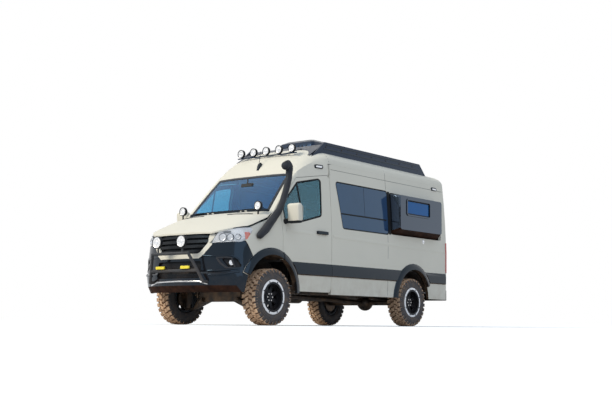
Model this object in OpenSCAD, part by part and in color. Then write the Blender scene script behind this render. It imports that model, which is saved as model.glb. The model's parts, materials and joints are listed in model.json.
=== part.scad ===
// High-roof camper van with raised suspension, side pods and an expedition roof rack.
// +X points forward, +Y to the left, +Z up; the origin is on the floor, midway along the van.

/* [Running gear] */
// Distance between the front and rear axles
wheelbase = 3665; // [3500:5:4300]
// Front axle to the foremost face of the guard bar lamps
front_reach = 1128; // [1110:1:1250]
// Rear axle to the rear face of the step bumper
rear_reach = 1238; // [1225:1:1500]
// Distance between the wheel centre planes
track = 1705; // [1690:1:1730]
// Outside radius of the tyres, over the lug tips
tyre_r = 402; // [380:1:412]
// Width of the tyres over the shoulders
tyre_w = 265; // [235:1:275]
// Outside radius of the clamping ring on each wheel
ring_r = 235; // [215:1:245]

/* [Body] */
// Half the body width at the waist line
half_w = 1000; // [960:1:1040]
// Height of the sill's lower edge
sill_z = 470; // [440:1:500]
// Height of the waist line, the widest line of the side
waist_z = 1290; // [1240:1:1330]
// Height of the gutter between body side and roof cap
gutter_z = 2480; // [2440:1:2540]
// Height of the roof's crown
roof_z = 2760; // [2700:1:2840]
// Thickness of the body walls
wall = 50; // [35:1:60]
// Thickness of the roof cap
roof_wall = 40; // [30:1:50]
// Shut gap round doors, hood and panels
panel_gap = 6; // [5:0.5:9]

/* [Cab] */
// Front axle to the tip of the nose
front_overhang = 958; // [930:1:990]
// Front axle back to the base of the windscreen
cowl_setback = 88; // [60:1:120]
// Height of the windscreen base at the centre line
cowl_z = 1655; // [1620:1:1700]
// Horizontal run of the windscreen, base to top
screen_run = 580; // [540:1:640]
// Height of the windscreen's top edge at the centre line
screen_top_z = 2285; // [2240:1:2320]
// Height of the hood's leading edge at the centre line
hood_front_z = 1290; // [1250:1:1330]
// Front axle back to the leading edge of the front doors
door_setback = 212; // [195:1:230]
// Length of the front doors
door_len = 1126; // [1080:1:1160]
// Opening radius of the front wheel arches
front_arch_r = 530; // [515:1:545]
// Opening radius of the rear wheel arches
rear_arch_r = 505; // [480:1:520]

/* [Fittings] */
// How far the side pods stand out from the body
pod_depth = 150; // [110:1:180]
// Height of the roof rack's top edge
rack_z = 2850; // [2830:1:2900]
// Height of the roof unit's top
unit_z = 2995; // [2940:1:3060]
// How far the door mirrors stand out from the waist line
mirror_out = 240; // [220:1:280]
// Radius of the lamps on the guard bar
guard_lamp_r = 88; // [75:1:95]
// Radius of the lamps along the roof and at the windscreen base
roof_lamp_r = 66; // [55:1:75]
// Outside radius of the guard bar's tube
guard_tube_r = 21; // [18:1:26]

/* [Hidden] */
$fn = 48;

// Shared clearances
seat_gap = 0.3;
run_gap = 8;
overrun = 40;
deep_overrun = 240;
lap = 1;

// Places along the van
axle_f = (wheelbase + rear_reach - front_reach) / 2;
axle_r = axle_f - wheelbase;
nose_x = axle_f + front_overhang;
front_x = axle_f + front_reach;
back_x = axle_r - rear_reach;
rear_step = 70;
body_rear_x = back_x + rear_step;
nose_len = 490;
nose_base_x = nose_x - nose_len;
hood_setback = 100;
hood_front_x = nose_x - hood_setback;
cowl_x = axle_f - cowl_setback;
screen_top_x = cowl_x - screen_run;
cap_run = 715;
roof_start_x = screen_top_x - cap_run;
door_front_x = axle_f - door_setback;
door_rear_x = door_front_x - door_len;
slide_len = 1550;
slide_rear_x = door_rear_x - panel_gap - slide_len;
corner_r = 110;
half_track = track / 2;

// Shape of the body sections
sill_tuck = 16;
side_bulge = 14;
cab_taper = 46;
hood_power = 1.5;
nose_power = 2.6;
screen_bulge = 22;
cap_power = 2.1;
nose_drop = 170;
roof_fall = 15;
edge_q = 2.35;
slope_step = 0.02;

function mix(a, b, t) = a + (b - a) * t;
function unit(v) = v / norm(v);
function steps(a, b, n) = [for (i = [0 : n]) mix(a, b, i / n)];

// Half width of the body at the waist: rounded nose, tapered cab, straight side, rounded rear corners
function plan_w(x) =
    x > nose_base_x ? let(t = (x - nose_base_x) / nose_len)
        (half_w - cab_taper) * pow(max(0, 1 - pow(t, 2)), 1 / nose_power)
    : x > door_rear_x ? half_w - cab_taper * (x - door_rear_x) / (nose_base_x - door_rear_x)
    : x < body_rear_x + corner_r ? let(t = (body_rear_x + corner_r - x) / corner_r)
        half_w - corner_r * (1 - sqrt(max(0, 1 - pow(t, 2))))
    : half_w;

// Height of the centre line: nose, hood, windscreen, roof cap and roof
function crown_z(x) =
    x > hood_front_x ? let(t = (x - hood_front_x) / hood_setback)
        hood_front_z - nose_drop * (1 - sqrt(max(0, 1 - pow(t, 2))))
    : x > cowl_x ? let(t = (hood_front_x - x) / (hood_front_x - cowl_x))
        hood_front_z + (cowl_z - hood_front_z) * (1 - pow(1 - t, hood_power))
    : x > screen_top_x ? let(t = (cowl_x - x) / screen_run)
        mix(cowl_z, screen_top_z, t) + screen_bulge * 4 * t * (1 - t)
    : x > roof_start_x ? let(t = (screen_top_x - x) / cap_run)
        screen_top_z + (roof_z - screen_top_z) * (1 - pow(1 - t, cap_power))
    : roof_z - roof_fall * (roof_start_x - x) / (roof_start_x - body_rear_x);

// Sections along the body: x, waist height, rail height, rail half width as a share of the waist's, roundness
rail_shares = [0.925, 0.815, 0.915, 0.935];
roof_round = 2.6;
shoulder_round = 3;
pillar_top_drop = 45;
pillar_base_drop = 55;
wing_run = 130;
wing_rear_z = 1510;
wing_z = 1320;
wing_waist_drop = 140;
nose_waist_drop = 340;
nose_rail_drop = 25;
section_rows = [
    [body_rear_x, waist_z, gutter_z, rail_shares[0], roof_round],
    [roof_start_x, waist_z, gutter_z, rail_shares[0], roof_round],
    [screen_top_x, waist_z, screen_top_z - pillar_top_drop, rail_shares[1], shoulder_round],
    [cowl_x, waist_z, cowl_z - pillar_base_drop, rail_shares[2], shoulder_round],
    [cowl_x + wing_run, waist_z - wing_waist_drop / 4, wing_rear_z, rail_shares[2], shoulder_round],
    [nose_base_x, waist_z - wing_waist_drop, wing_z, rail_shares[3], shoulder_round],
    [hood_front_x, waist_z - nose_waist_drop, hood_front_z - nose_rail_drop, rail_shares[3], shoulder_round]
];
function section(x, column) = lookup(x, [for (row = section_rows) [row[0], row[column]]]);

// One point of a half section, [y, z]: q runs 0 at the sill, 1 at the waist, 2 at the rail, 3 at the crown
function half_point(x, q) =
    let(w = plan_w(x), wz = section(x, 1), rz = section(x, 2), ry = w * section(x, 3), n = section(x, 4))
    q <= 1 ? [w - sill_tuck * pow(1 - q, 2), mix(sill_z, wz, q)]
    : q <= 2 ? [mix(w, ry, q - 1) + side_bulge * 4 * (q - 1) * (2 - q), mix(wz, rz, q - 1)]
    : let(t = 90 * (q - 2)) [ry * pow(cos(t), 2 / n), rz + (crown_z(x) - rz) * pow(sin(t), 2 / n)];
function ring_point(x, q) = q <= 3 ? half_point(x, q) : let(p = half_point(x, 6 - q)) [-p[0], p[1]];
// The slope is taken within the side or within the roof, so that it doesn't mix across the rail
function ring_normal(x, q) =
    let(ends = q <= 2 ? [0, 2] : q < 4 ? [2, 4] : [4, 6],
        v = ring_point(x, min(q + slope_step, ends[1])) - ring_point(x, max(q - slope_step, ends[0])))
    unit([v[1], -v[0]]);
// A point of the body's skin, moved out by d
function skin(x, q, d) = let(p = ring_point(x, q) + d * ring_normal(x, q)) [x, p[0], p[1]];
// The section position at height z on the side, below the rail
function q_at(x, z) =
    let(wz = section(x, 1), rz = section(x, 2))
    z < wz ? (z - sill_z) / (wz - sill_z) : 1 + (z - wz) / (rz - wz);
function side_y(x, z, d = 0) = skin(x, q_at(x, z), d)[1];

// A closed sheet between two grids of points, outer[i][j] and inner[i][j]
module sheet_between(outer, inner) {
    ni = len(outer);
    nj = len(outer[0]);
    count = ni * nj;
    points = concat([for (row = outer) for (p = row) p], [for (row = inner) for (p = row) p]);
    function at(i, j) = i * nj + j;
    function under(i, j) = count + i * nj + j;
    faces = concat(
        [for (i = [0 : ni - 2]) for (j = [0 : nj - 2]) for (f = [
            [at(i, j), at(i + 1, j), at(i + 1, j + 1)], [at(i, j), at(i + 1, j + 1), at(i, j + 1)],
            [under(i, j), under(i + 1, j + 1), under(i + 1, j)],
            [under(i, j), under(i, j + 1), under(i + 1, j + 1)]]) f],
        [for (i = [0 : ni - 2]) for (f = [
            [at(i + 1, 0), at(i, 0), under(i, 0)], [at(i + 1, 0), under(i, 0), under(i + 1, 0)],
            [at(i, nj - 1), at(i + 1, nj - 1), under(i + 1, nj - 1)],
            [at(i, nj - 1), under(i + 1, nj - 1), under(i, nj - 1)]]) f],
        [for (j = [0 : nj - 2]) for (f = [
            [at(0, j), at(0, j + 1), under(0, j + 1)], [at(0, j), under(0, j + 1), under(0, j)],
            [at(ni - 1, j + 1), at(ni - 1, j), under(ni - 1, j)],
            [at(ni - 1, j + 1), under(ni - 1, j), under(ni - 1, j + 1)]]) f]);
    polyhedron(points = points, faces = faces, convexity = 6);
}
// A sheet of the body's skin over a grid of [x, q] places, between two offsets
module body_sheet(grid, d_out, d_in) {
    sheet_between(
        [for (row = grid) [for (c = row) skin(c[0], c[1], d_out)]],
        [for (row = grid) [for (c = row) skin(c[0], c[1], d_in)]]);
}
function grid_of(xs, qs) = [for (x = xs) [for (q = qs) [x, q]]];
// A sheet of the left side between two heights
function side_grid(xs, z0, z1, n) = [for (x = xs) [for (z = steps(z0, z1, n)) [x, q_at(x, z)]]];

// The nose's fascia: a plan outline drawn in towards its top and bottom, with a ledge along the bumper.
// Past a right angle the plan runs straight back along the body, one step for each degree.
fascia_w = half_w - cab_taper;
lip_z = 455;
// Height as a share of the hood's leading edge, inset as a share of the nose's length
fascia_shares = [[0.4225, 0.0694], [0.5116, 0.008], [0.5465, -0.008], [0.5659, 0.045], [0.7442, 0.0694],
    [0.876, 0.1265], [1, 0.188]];
lip_inset = 120;
fascia_rows = concat([[lip_z, lip_inset]],
    [for (row = fascia_shares) [row[0] * hood_front_z, row[1] * nose_len]]);
fascia_zs = [for (row = fascia_rows) row[0]];
fascia_side_share = 0.5;
fascia_step = 9;
fascia_end_a = 98;
fascia_as = concat(steps(-fascia_end_a, -90, 2), steps(-80, 80, 20), steps(90, fascia_end_a, 2));
function fascia(a, z, d) =
    let(inset = lookup(z, fascia_rows), turn = min(abs(a), 90), run = max(0, abs(a) - 90) * fascia_step)
    [nose_base_x + (nose_len - inset + d) * cos(turn) - run,
     sign(a) * ((fascia_w - inset * fascia_side_share * cos(turn) + d) * pow(sin(turn), 2 / nose_power)
        + run * cab_taper / (nose_base_x - door_rear_x)), z];
// The plan angle at which the fascia reaches half width y
function fascia_a(y) = sign(y) * asin(pow(min(1, abs(y) / fascia_w), nose_power / 2));
module fascia_sheet(as, zs, d_out, d_in) {
    sheet_between(
        [for (a = as) [for (z = zs) fascia(-a, z, d_out)]],
        [for (a = as) [for (z = zs) fascia(-a, z, d_in)]]);
}
// The whole depth behind or before the fascia, to cut pieces that end against it
module fascia_block(d_out, d_in) {
    fascia_sheet(fascia_as, fascia_zs, d_out, d_in);
}

// Prisms across the van (outline in x, z) and along it (outline in y, z)
module across(y0, y1) {
    translate([0, y1, 0]) rotate([90, 0, 0]) linear_extrude(y1 - y0) children();
}
module along(x0, x1) {
    translate([x0, 0, 0]) rotate([90, 0, 90]) linear_extrude(x1 - x0) children();
}
module rounded(r) {
    offset(r = r, $fn = 24) offset(delta = -r) children();
}
module mirrored() {
    children();
    mirror([0, 1, 0]) children();
}
module on_side(side) {
    if (side > 0) children();
    else mirror([0, 1, 0]) children();
}

// Side view outlines
sill_lift = 30;
arch_z = 470;
front_arch_shift = 25;
rear_arch_z = 450;
door_top_z = 2300;
door_top_fall = 105;
pillar_in = 62;
module front_arch(r) {
    translate([axle_f + front_arch_shift, arch_z]) circle(r = r, $fn = 144);
}
module rear_arch(r) {
    translate([axle_r, rear_arch_z]) circle(r = r, $fn = 144);
}
// Outline of a front door, grown by g
pillar_foot_z = 1500;
pillar_top_in = 12;
door_corner = 60;
module door_outline(g) {
    top_front_x = screen_top_x - pillar_top_in;
    offset(delta = g) difference() {
        rounded(door_corner) polygon([
            [door_rear_x, sill_z + sill_lift],
            [door_front_x, sill_z + sill_lift],
            [door_front_x, pillar_foot_z],
            [door_front_x - pillar_in, section(door_front_x - pillar_in, 2) - pillar_in / 2],
            [top_front_x, door_top_z - door_top_fall],
            [door_rear_x, door_top_z]]);
        front_arch(front_arch_r);
    }
}
// Outline of a front door's window, shrunk by g
door_glass_front = 70;
door_glass_rear = 215;
door_glass_foot_z = 1470;
door_glass_rear_z = 1640;
door_glass_top = 62;
door_glass_step = 36;
door_glass_notch = 405;
door_glass_top_rear = 172;
glass_corner = 55;
module door_glass_outline(g) {
    offset(delta = -g) rounded(glass_corner) polygon([
        [door_rear_x + door_glass_rear, door_glass_rear_z],
        [door_front_x - door_glass_notch, door_glass_foot_z + door_glass_step],
        [door_front_x - door_glass_front, door_glass_foot_z],
        [door_front_x - door_glass_front, section(door_front_x - door_glass_front, 2) - door_glass_top],
        [screen_top_x - pillar_top_in, door_top_z - door_top_fall - door_glass_top],
        [door_rear_x + door_glass_top_rear, door_top_z - door_glass_top]]);
}
// Outline of the long side window behind the front door, shrunk by g
win_front = 135;
win_lean = 160;
win_foot_z = 1490;
win_top_z = 2226;
win_len = 1455;
slide_frame = 90;
slide_win_len = slide_len + panel_gap - win_front - slide_frame;
module side_glass_outline(g, win_len = win_len) {
    x0 = door_rear_x - win_front;
    offset(delta = -g) rounded(glass_corner) polygon([
        [x0 - win_lean, win_foot_z], [x0, win_top_z],
        [x0 - win_len, win_top_z], [x0 - win_len, win_foot_z]]);
}
// Base outline of a side pod on the body side, shrunk by g
pod_gap = 50;
pod_front_x = door_rear_x - win_front - win_len - pod_gap;
pod_len = 1610;
pod_top_len = 1513;
pod_z0 = 1505;
pod_z1 = 2205;
pod_corner = 45;
module pod_outline(g) {
    offset(delta = -g) rounded(pod_corner) polygon([
        [pod_front_x - pod_len, pod_z0], [pod_front_x, pod_z0],
        [pod_front_x, pod_z1], [pod_front_x - pod_top_len, pod_z1]]);
}
slide_top_z = 2330;
module slide_outline(g) {
    offset(delta = g) rounded(door_corner) polygon([
        [slide_rear_x, sill_z + sill_lift], [door_rear_x - panel_gap * 2, sill_z + sill_lift],
        [door_rear_x - panel_gap * 2, slide_top_z], [slide_rear_x, slide_top_z]]);
}

// Hinge barrels on a vertical axis: the fixed half ends and the moving half between them
barrel_r = 9;
barrel_h = 60;
barrel_gap = 0.5;
leaf_t = 8;
leaf_len = 62;
module barrel_fixed(z) {
    for (s = [-1, 1]) translate([0, 0, z + s * (barrel_h / 2 + barrel_gap + barrel_h / 4)])
        cylinder(h = barrel_h / 2, r = barrel_r, center = true);
}
module barrel_moving(z) {
    translate([0, 0, z]) cylinder(h = barrel_h, r = barrel_r, center = true);
}
module leaf(z, h, x0, x1, y0, y1) {
    translate([x0, y0, z - h / 2]) cube([x1 - x0, y1 - y0, h]);
}
back_hinge_out = 12;
back_hinge_in = 48;
back_hinge_x = body_rear_x - back_hinge_out;
back_hinge_y = half_w - corner_r - back_hinge_in;
back_hinge_shares = [0.363, 0.5645, 0.758];
back_hinge_zs = [for (share = back_hinge_shares) share * gutter_z];

// Body sides
side_front_x = door_rear_x - panel_gap;
side_mid_x = roof_start_x - overrun;
side_xs = concat([for (a = [0 : 18 : 90]) body_rear_x + corner_r * (1 - cos(a))],
    [slide_rear_x, side_mid_x, side_front_x]);
side_qs = [0, 0.25, 0.5, 0.75, 1, 1.25, 1.5, 1.75, 2];
module side_blank(xs = side_xs) {
    body_sheet(grid_of(xs, side_qs), 0, -wall);
}
module side_cut() {
    across(half_w / 2, half_w + overrun) children();
}
// The fixed halves of the rear door hinges, on the rear edge of the body side
module back_hinges_fixed() {
    for (z = back_hinge_zs) {
        translate([back_hinge_x, back_hinge_y, 0]) barrel_fixed(z);
        for (s = [-1, 1]) leaf(z + s * (barrel_h * 3 / 4 + barrel_gap), barrel_h / 2,
            back_hinge_x - leaf_t / 2, body_rear_x + lap, back_hinge_y, back_hinge_y + barrel_r * 3);
    }
}
module side_left() {
    color("gainsboro") back_hinges_fixed();
    color("gainsboro") difference() {
        side_blank();
        side_cut() side_glass_outline(0);
        side_cut() pod_outline(0);
        side_cut() rear_arch(rear_arch_r);
    }
}
module side_right() {
    color("gainsboro") mirror([0, 1, 0]) back_hinges_fixed();
    color("gainsboro") mirror([0, 1, 0]) difference() {
        side_blank();
        side_cut() slide_outline(panel_gap);
        side_cut() pod_outline(0);
        side_cut() rear_arch(rear_arch_r);
    }
}
module sliding_door() {
    color("gainsboro") mirror([0, 1, 0]) difference() {
        intersection() {
            side_blank([slide_rear_x - overrun, side_mid_x, side_front_x]);
            side_cut() slide_outline(0);
        }
        side_cut() side_glass_outline(0, slide_win_len);
    }
}
glass_gap = 0.6;
glass_set = 6;
glass_t = 6;
module side_pane(len) {
    x0 = door_rear_x - win_front;
    intersection() {
        body_sheet(grid_of([x0 - len - overrun, side_mid_x, x0 + overrun], [1, 1.25, 1.5, 1.75, 2]),
            -glass_set, -glass_set - glass_t);
        side_cut() side_glass_outline(glass_gap, len);
    }
}
module side_glass() {
    color([0.1, 0.12, 0.15]) {
        side_pane(win_len);
        mirror([0, 1, 0]) side_pane(slide_win_len);
        mirrored() across(pod_face_y - pod_pane_set - glass_t, pod_face_y - pod_pane_set)
            pod_window_outline(glass_gap);
    }
}

// Side pods: hollow frustums that stand out from the body sides
pod_wall = 30;
pod_inset_front = 60;
pod_inset_rear = 240;
pod_rise = 86;
pod_fall = 45;
pod_window_shares = [0.16, 0.6, 0.5, 0.84];
pod_window_corner = 30;
pod_pane_set = 10;
pod_frame_w = 24;
pod_frame_t = 12;
module pod_solid(g, root_y, face_y) {
    hull() {
        across(root_y, root_y + seat_gap) pod_outline(g);
        across(face_y - seat_gap, face_y) rounded(pod_corner) polygon([
            [pod_front_x - pod_len + pod_inset_rear + g, pod_z0 + pod_rise + g],
            [pod_front_x - pod_inset_front - g, pod_z0 + pod_rise + g],
            [pod_front_x - pod_inset_front - g, pod_z1 - pod_fall - g],
            [pod_front_x - pod_len + pod_inset_rear + g, pod_z1 - pod_fall - g]]);
    }
}
// Outline of the hinged window in a pod's outer face, shrunk by g
module pod_window_outline(g) {
    offset(delta = -g) rounded(pod_window_corner) polygon([
        for (share = [[1, 2], [0, 2], [0, 3], [1, 3]])
            [pod_front_x - pod_len * pod_window_shares[share[0]],
             mix(pod_z0, pod_z1, pod_window_shares[share[1]])]]);
}
pod_root_y = side_y(axle_r, pod_z1, -wall);
pod_face_y = half_w + pod_depth;
module side_pods() {
    color("black") mirrored() difference() {
        union() {
            pod_solid(seat_gap, pod_root_y, pod_face_y);
            across(pod_face_y - pod_frame_t, pod_face_y + pod_frame_t) pod_window_outline(-pod_frame_w);
        }
        pod_solid(pod_wall, pod_root_y - overrun, pod_face_y - pod_wall);
        across(pod_face_y - pod_wall - overrun, pod_face_y + overrun) pod_window_outline(0);
    }
}

// Roof cap with the part that comes down over the cab doors
header = 60;
cap_front_x = screen_top_x - header;
cap_shares = [0.8, 0.62, 0.46, 0.31, 0.18, 0.08];
roof_xs = concat([for (a = [0 : 30 : 90]) body_rear_x + corner_r * (1 - cos(a))],
    [axle_r, mix(axle_r, roof_start_x, 0.5), roof_start_x],
    [for (share = cap_shares) mix(cap_front_x, roof_start_x, share)], [cap_front_x]);
seam_q = 0.0002;
cab_side_q = 1.72;
function roof_low_q(x) = x > door_rear_x ? cab_side_q : 2 + seam_q;
function roof_qs(q0) = concat(steps(q0, 2.16, 2), steps(2.3, 3.7, 10), steps(3.84, 6 - q0, 2));
roof_grid = [for (x = roof_xs) [for (q = roof_qs(roof_low_q(x))) [x, q]]];
module roof() {
    color("ivory") difference() {
        body_sheet(roof_grid, 0, -roof_wall);
        across(-half_w - overrun, half_w + overrun) door_outline(panel_gap);
        translate([door_rear_x - overrun * 2, -half_w - overrun, 0])
            cube([overrun * 2 + panel_gap, 2 * (half_w + overrun), gutter_z]);
    }
}
// What stands on the roof is cut to it
module roof_block() {
    body_sheet(roof_grid, seat_gap, -deep_overrun);
}

// Cab frame: windscreen pillars, header and cowl in one piece, with the windscreen set in it
cowl_strip = 24;
screen_xs = steps(screen_top_x, cowl_x, 4);
screen_qs = concat(steps(edge_q, 2.6, 2), steps(2.8, 3.2, 4), steps(3.4, 6 - edge_q, 2));
screen_gap_share = 0.0045;
frame_q = 1.87;
frame_wall = 40;
module cab_frame() {
    xs = concat([cap_front_x + seat_gap], screen_xs, [cowl_x + cowl_strip]);
    color("gainsboro") difference() {
        body_sheet(grid_of(xs, concat([frame_q, 2, 2.15], screen_qs, [3.85, 4, 6 - frame_q])),
            0, -frame_wall);
        body_sheet(grid_of(screen_xs, screen_qs), overrun, -frame_wall - overrun);
        across(-half_w - overrun, half_w + overrun) door_outline(panel_gap);
    }
    color("gainsboro") mirrored() {
        translate([hood_hinge_x, hood_hinge_y, hood_hinge_z]) rotate([90, 0, 0]) barrel_fixed(0);
        for (s = [-1, 1]) translate([hood_hinge_x - panel_gap - barrel_r,
            hood_hinge_y + s * (barrel_h * 3 / 4 + barrel_gap) - barrel_h / 4, hood_hinge_z]) {
                translate([0, 0, -hinge_leaf_h]) cube([barrel_r, barrel_h / 2, hinge_leaf_h]);
                translate([0, 0, -barrel_r]) cube([barrel_r + panel_gap, barrel_h / 2, barrel_r]);
            }
    }
}
module windshield() {
    xs = [for (x = screen_xs) mix(x, (screen_top_x + cowl_x) / 2, screen_gap_share)];
    qs = [for (q = screen_qs) mix(q, 3, screen_gap_share)];
    color([0.2, 0.3, 0.4]) body_sheet(grid_of(xs, qs), -glass_set, -glass_set - glass_t);
}

// Hood, hinged along its rear edge; its side edge runs down to the headlamps
hood_wall = 25;
hood_rear_x = cowl_x + cowl_strip + panel_gap;
lamp_tip_ahead = 412;
lamp_tip_x = axle_f + lamp_tip_ahead;
hood_edge_rows = [[cowl_x, 2.2], [cowl_x + wing_run, 2.06], [lamp_tip_x, 2.1], [hood_front_x, 2.34]];
function hood_q(x) = lookup(x, hood_edge_rows);
function hood_qs(q0) = concat(steps(q0, 2.6, 3), steps(2.8, 3.2, 4), steps(3.4, 6 - q0, 3));
hood_nose_shares = [0.25, 0.5, 0.75, 0.92, 1];
hood_xs = concat([hood_rear_x], steps(cowl_x + wing_run, nose_base_x, 4),
    [for (share = hood_nose_shares) mix(nose_base_x, hood_front_x, share)]);
hood_grid = [for (x = hood_xs) [for (q = hood_qs(hood_q(x))) [x, q]]];
hood_room_q = 0.03;
hood_room_grid = [for (x = hood_xs) [for (q = hood_qs(hood_q(x) - hood_room_q)) [x + panel_gap, q]]];
hood_hinge_x = hood_rear_x;
hood_hinge_z = cowl_z + barrel_r;
hood_hinge_y = 330;
hinge_leaf_h = 45;
module hood() {
    color("ivory") {
        body_sheet(hood_grid, 0, -hood_wall);
        mirrored() translate([hood_hinge_x, hood_hinge_y, hood_hinge_z]) rotate([90, 0, 0]) barrel_moving(0);
        mirrored() translate([hood_hinge_x, hood_hinge_y - barrel_h / 2, hood_hinge_z - hinge_leaf_h])
            cube([barrel_r, barrel_h, hinge_leaf_h]);
    }
}

// Headlamps: between the hood's edge above and the bumper below, drawn back to a tip on the fender
lamp_in_back = 55;
lamp_in_x = hood_front_x - lamp_in_back;
lamp_gap_q = 0.055;
lamp_low_y = 561;
lamp_low_z = 1133;
lamp_out_a = 78;
lamp_out_z = 1160;
lamp_turn = 0.8;
lamp_tip_z = 1298;
lamp_wall = 60;
lamp_bulge = 16;
lamp_aims = [25, 80];
lamp_lift = 0.7;
lamp_ts = [0, 0.16, 0.32, 0.48, 0.64, 0.8, 0.9, 1];
lamp_margin = 0.035;
function lamp_top(t) = let(x = mix(lamp_in_x, lamp_tip_x, t)) skin(x, hood_q(x) - lamp_gap_q, 0);
function lamp_low(t) =
    t < lamp_turn ? let(k = t / lamp_turn)
        fascia(mix(fascia_a(lamp_low_y), lamp_out_a, k), mix(lamp_low_z, lamp_out_z, k), 0)
    : mix(fascia(lamp_out_a, lamp_out_z, 0), skin(lamp_tip_x, q_at(lamp_tip_x, lamp_tip_z), 0),
        (t - lamp_turn) / (1 - lamp_turn));
function lamp_aim(t) = let(a = mix(lamp_aims[0], lamp_aims[1], t)) unit([cos(a), sin(a), lamp_lift]);
// A point of a headlamp: t runs from its inner end to its tip, share from its lower edge to its upper one
function lamp_point(t, share, d) =
    mix(lamp_low(t), lamp_top(t), share) + (d + lamp_bulge * 4 * share * (1 - share)) * lamp_aim(t);
module lamp_sheet(ts, shares, d_out, d_in) {
    sheet_between(
        [for (t = ts) [for (share = shares) lamp_point(1 - t, share, d_out)]],
        [for (t = ts) [for (share = shares) lamp_point(1 - t, share, d_in)]]);
}
module headlamps() {
    color("white") difference() {
        mirrored() lamp_sheet(lamp_ts, steps(0, 1, 4), 0, -lamp_wall);
        body_sheet(hood_room_grid, overrun, -hood_wall - panel_gap);
    }
}
// The room that a headlamp and its shut gap take out of the panels round it
module lamp_room() {
    lamp_sheet(concat([-lamp_margin], lamp_ts, [1 + lamp_margin]), steps(-lamp_margin, 1 + lamp_margin, 4),
        overrun, -lamp_wall - overrun);
}

// Front fenders: from the door to the headlamp and the bumper, below the hood's edge
fender_wall = 40;
fender_gap_q = 0.07;
fender_qs = [0.1, 0.4, 0.7, 1];
frame_gap_q = 0.024;
fender_nose_shares = [0.122, 0.214, 0.296];
function fender_top_q(x) = x < hood_rear_x ? frame_q - frame_gap_q : hood_q(x) - fender_gap_q;
// Side view of the bumper's room: bounded by the headlamp, a slanted seam, the flare and the wheel arch
front_arch_x = axle_f + front_arch_shift;
front_flare_ends = [180, 25];
flare_end_a = 1.5;
// The seam's ends: x ahead of the axle as a share of the overhang, height as a share of the hood's edge
seam_shares = [[0.59, 0.9008], [0.472, 0.772]];
seam_points = [for (share = seam_shares) [axle_f + share[0] * front_overhang, share[1] * hood_front_z]];
module bumper_zone(g) {
    offset(delta = g) difference() {
        polygon([[front_x, lip_z - overrun], [front_x, seam_points[0][1]], seam_points[0], seam_points[1],
            [front_arch_x + front_arch_r / 2, arch_z + front_arch_r / 2], [front_arch_x, lip_z - overrun]]);
        front_arch(front_arch_r);
        intersection() {
            front_arch(front_arch_r + flare_w + panel_gap / 2);
            translate([front_arch_x, arch_z]) rotate(front_flare_ends[1] - flare_end_a)
                translate([-half_w, 0]) square([2 * half_w, half_w]);
        }
    }
}
liner_t = 6;
liner_in_y = 660;
liner_z = 560;
module fenders() {
    xs = concat([door_front_x + panel_gap, hood_rear_x - panel_gap, hood_rear_x + panel_gap],
        steps(cowl_x + wing_run, nose_base_x, 4),
        [for (share = fender_nose_shares) nose_base_x + share * nose_len]);
    color("gainsboro") mirrored() difference() {
        union() {
            body_sheet([for (x = xs) [for (q = concat(fender_qs, steps(1.25, fender_top_q(x), 5))) [x, q]]],
                0, -fender_wall);
            // Wheel arch liner, from the fender's skin inwards
            across(liner_in_y, side_y(axle_f, arch_z + front_arch_r) - fender_wall / 2) difference() {
                front_arch(front_arch_r + liner_t);
                translate([front_arch_x - half_w, -half_w]) square([2 * half_w, half_w + liner_z]);
            }
        }
        across(0, half_w + overrun) front_arch(front_arch_r);
        side_cut() bumper_zone(panel_gap);
        side_cut() door_outline(panel_gap);
        lamp_room();
    }
}

// Front bumper, grille and its body-coloured surround, cut from the fascia by front view outlines
// Corners of the surround: y as a share of the half width, height as a share of the hood's edge
surround_shares = [[0.59, 0.9814], [0.556, 0.8566], [0.44, 0.7457], [0.372, 0.7116]];
surround_points = [for (share = surround_shares) [share[0] * half_w, share[1] * hood_front_z]];
surround_low_z = surround_points[3][1];
surround_top_z = surround_points[0][1];
surround_w = 68;
surround_side = 82;
fascia_wall = 40;
module surround_outline(g) {
    offset(delta = g) rounded(surround_w / 4) polygon(concat(surround_points,
        [for (i = [len(surround_points) - 1 : -1 : 0]) [-surround_points[i][0], surround_points[i][1]]]));
}
module grille_outline(g) {
    offset(delta = -g) rounded(surround_w / 2) intersection() {
        offset(delta = -surround_w) surround_outline(0);
        translate([-half_w, 0]) square([2 * half_w, surround_top_z - surround_w]);
    }
    // The grille runs up to the hood
    offset(delta = -g) polygon([for (s = [-1, 1]) for (i = s < 0 ? [0, 1] : [1, 0])
        [s * (surround_points[i][0] - surround_side), surround_points[i][1]]]);
}
surround_as = steps(-48, 48, 12);
function fascia_between(z0, z1) = concat([z0], [for (z = fascia_zs) if (z > z0 && z < z1) z], [z1]);
surround_zs = fascia_between(surround_low_z - overrun, surround_top_z);
module grille_surround() {
    color("ivory") difference() {
        intersection() {
            fascia_sheet(surround_as, surround_zs, 0, -fascia_wall);
            along(nose_base_x, nose_x + overrun) difference() {
                surround_outline(0);
                grille_outline(0);
            }
        }
        mirrored() lamp_room();
    }
}
grille_set = 26;
grille_back = 70;
grille_t = 10;
grille_bar_h = 40;
grille_bars = 4;
grille_as = steps(-40, 40, 10);
module grille() {
    low = surround_low_z + surround_w;
    pitch = (surround_top_z - low) / grille_bars;
    color("black") intersection() {
        union() {
            fascia_sheet(grille_as, steps(low - surround_w / 2, surround_top_z - seat_gap, 4),
                -grille_back, -grille_back - grille_t);
            for (k = [0 : grille_bars - 1]) fascia_sheet(grille_as,
                [for (h = [-1, 1]) low + pitch * (k + 0.5) + h * grille_bar_h / 2],
                -grille_set, -grille_back - seat_gap);
        }
        along(nose_base_x, nose_x + overrun) grille_outline(seat_gap);
    }
    color("black") intersection() {
        fascia_sheet(grille_as, fascia_between(intake_z0, intake_z1), -intake_back, -fascia_wall);
        along(nose_base_x, nose_x + overrun) intake_outline(seat_gap);
    }
}
intake_y = 420;
intake_z0 = 645;
intake_z1 = 880;
intake_back = 34;
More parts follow.
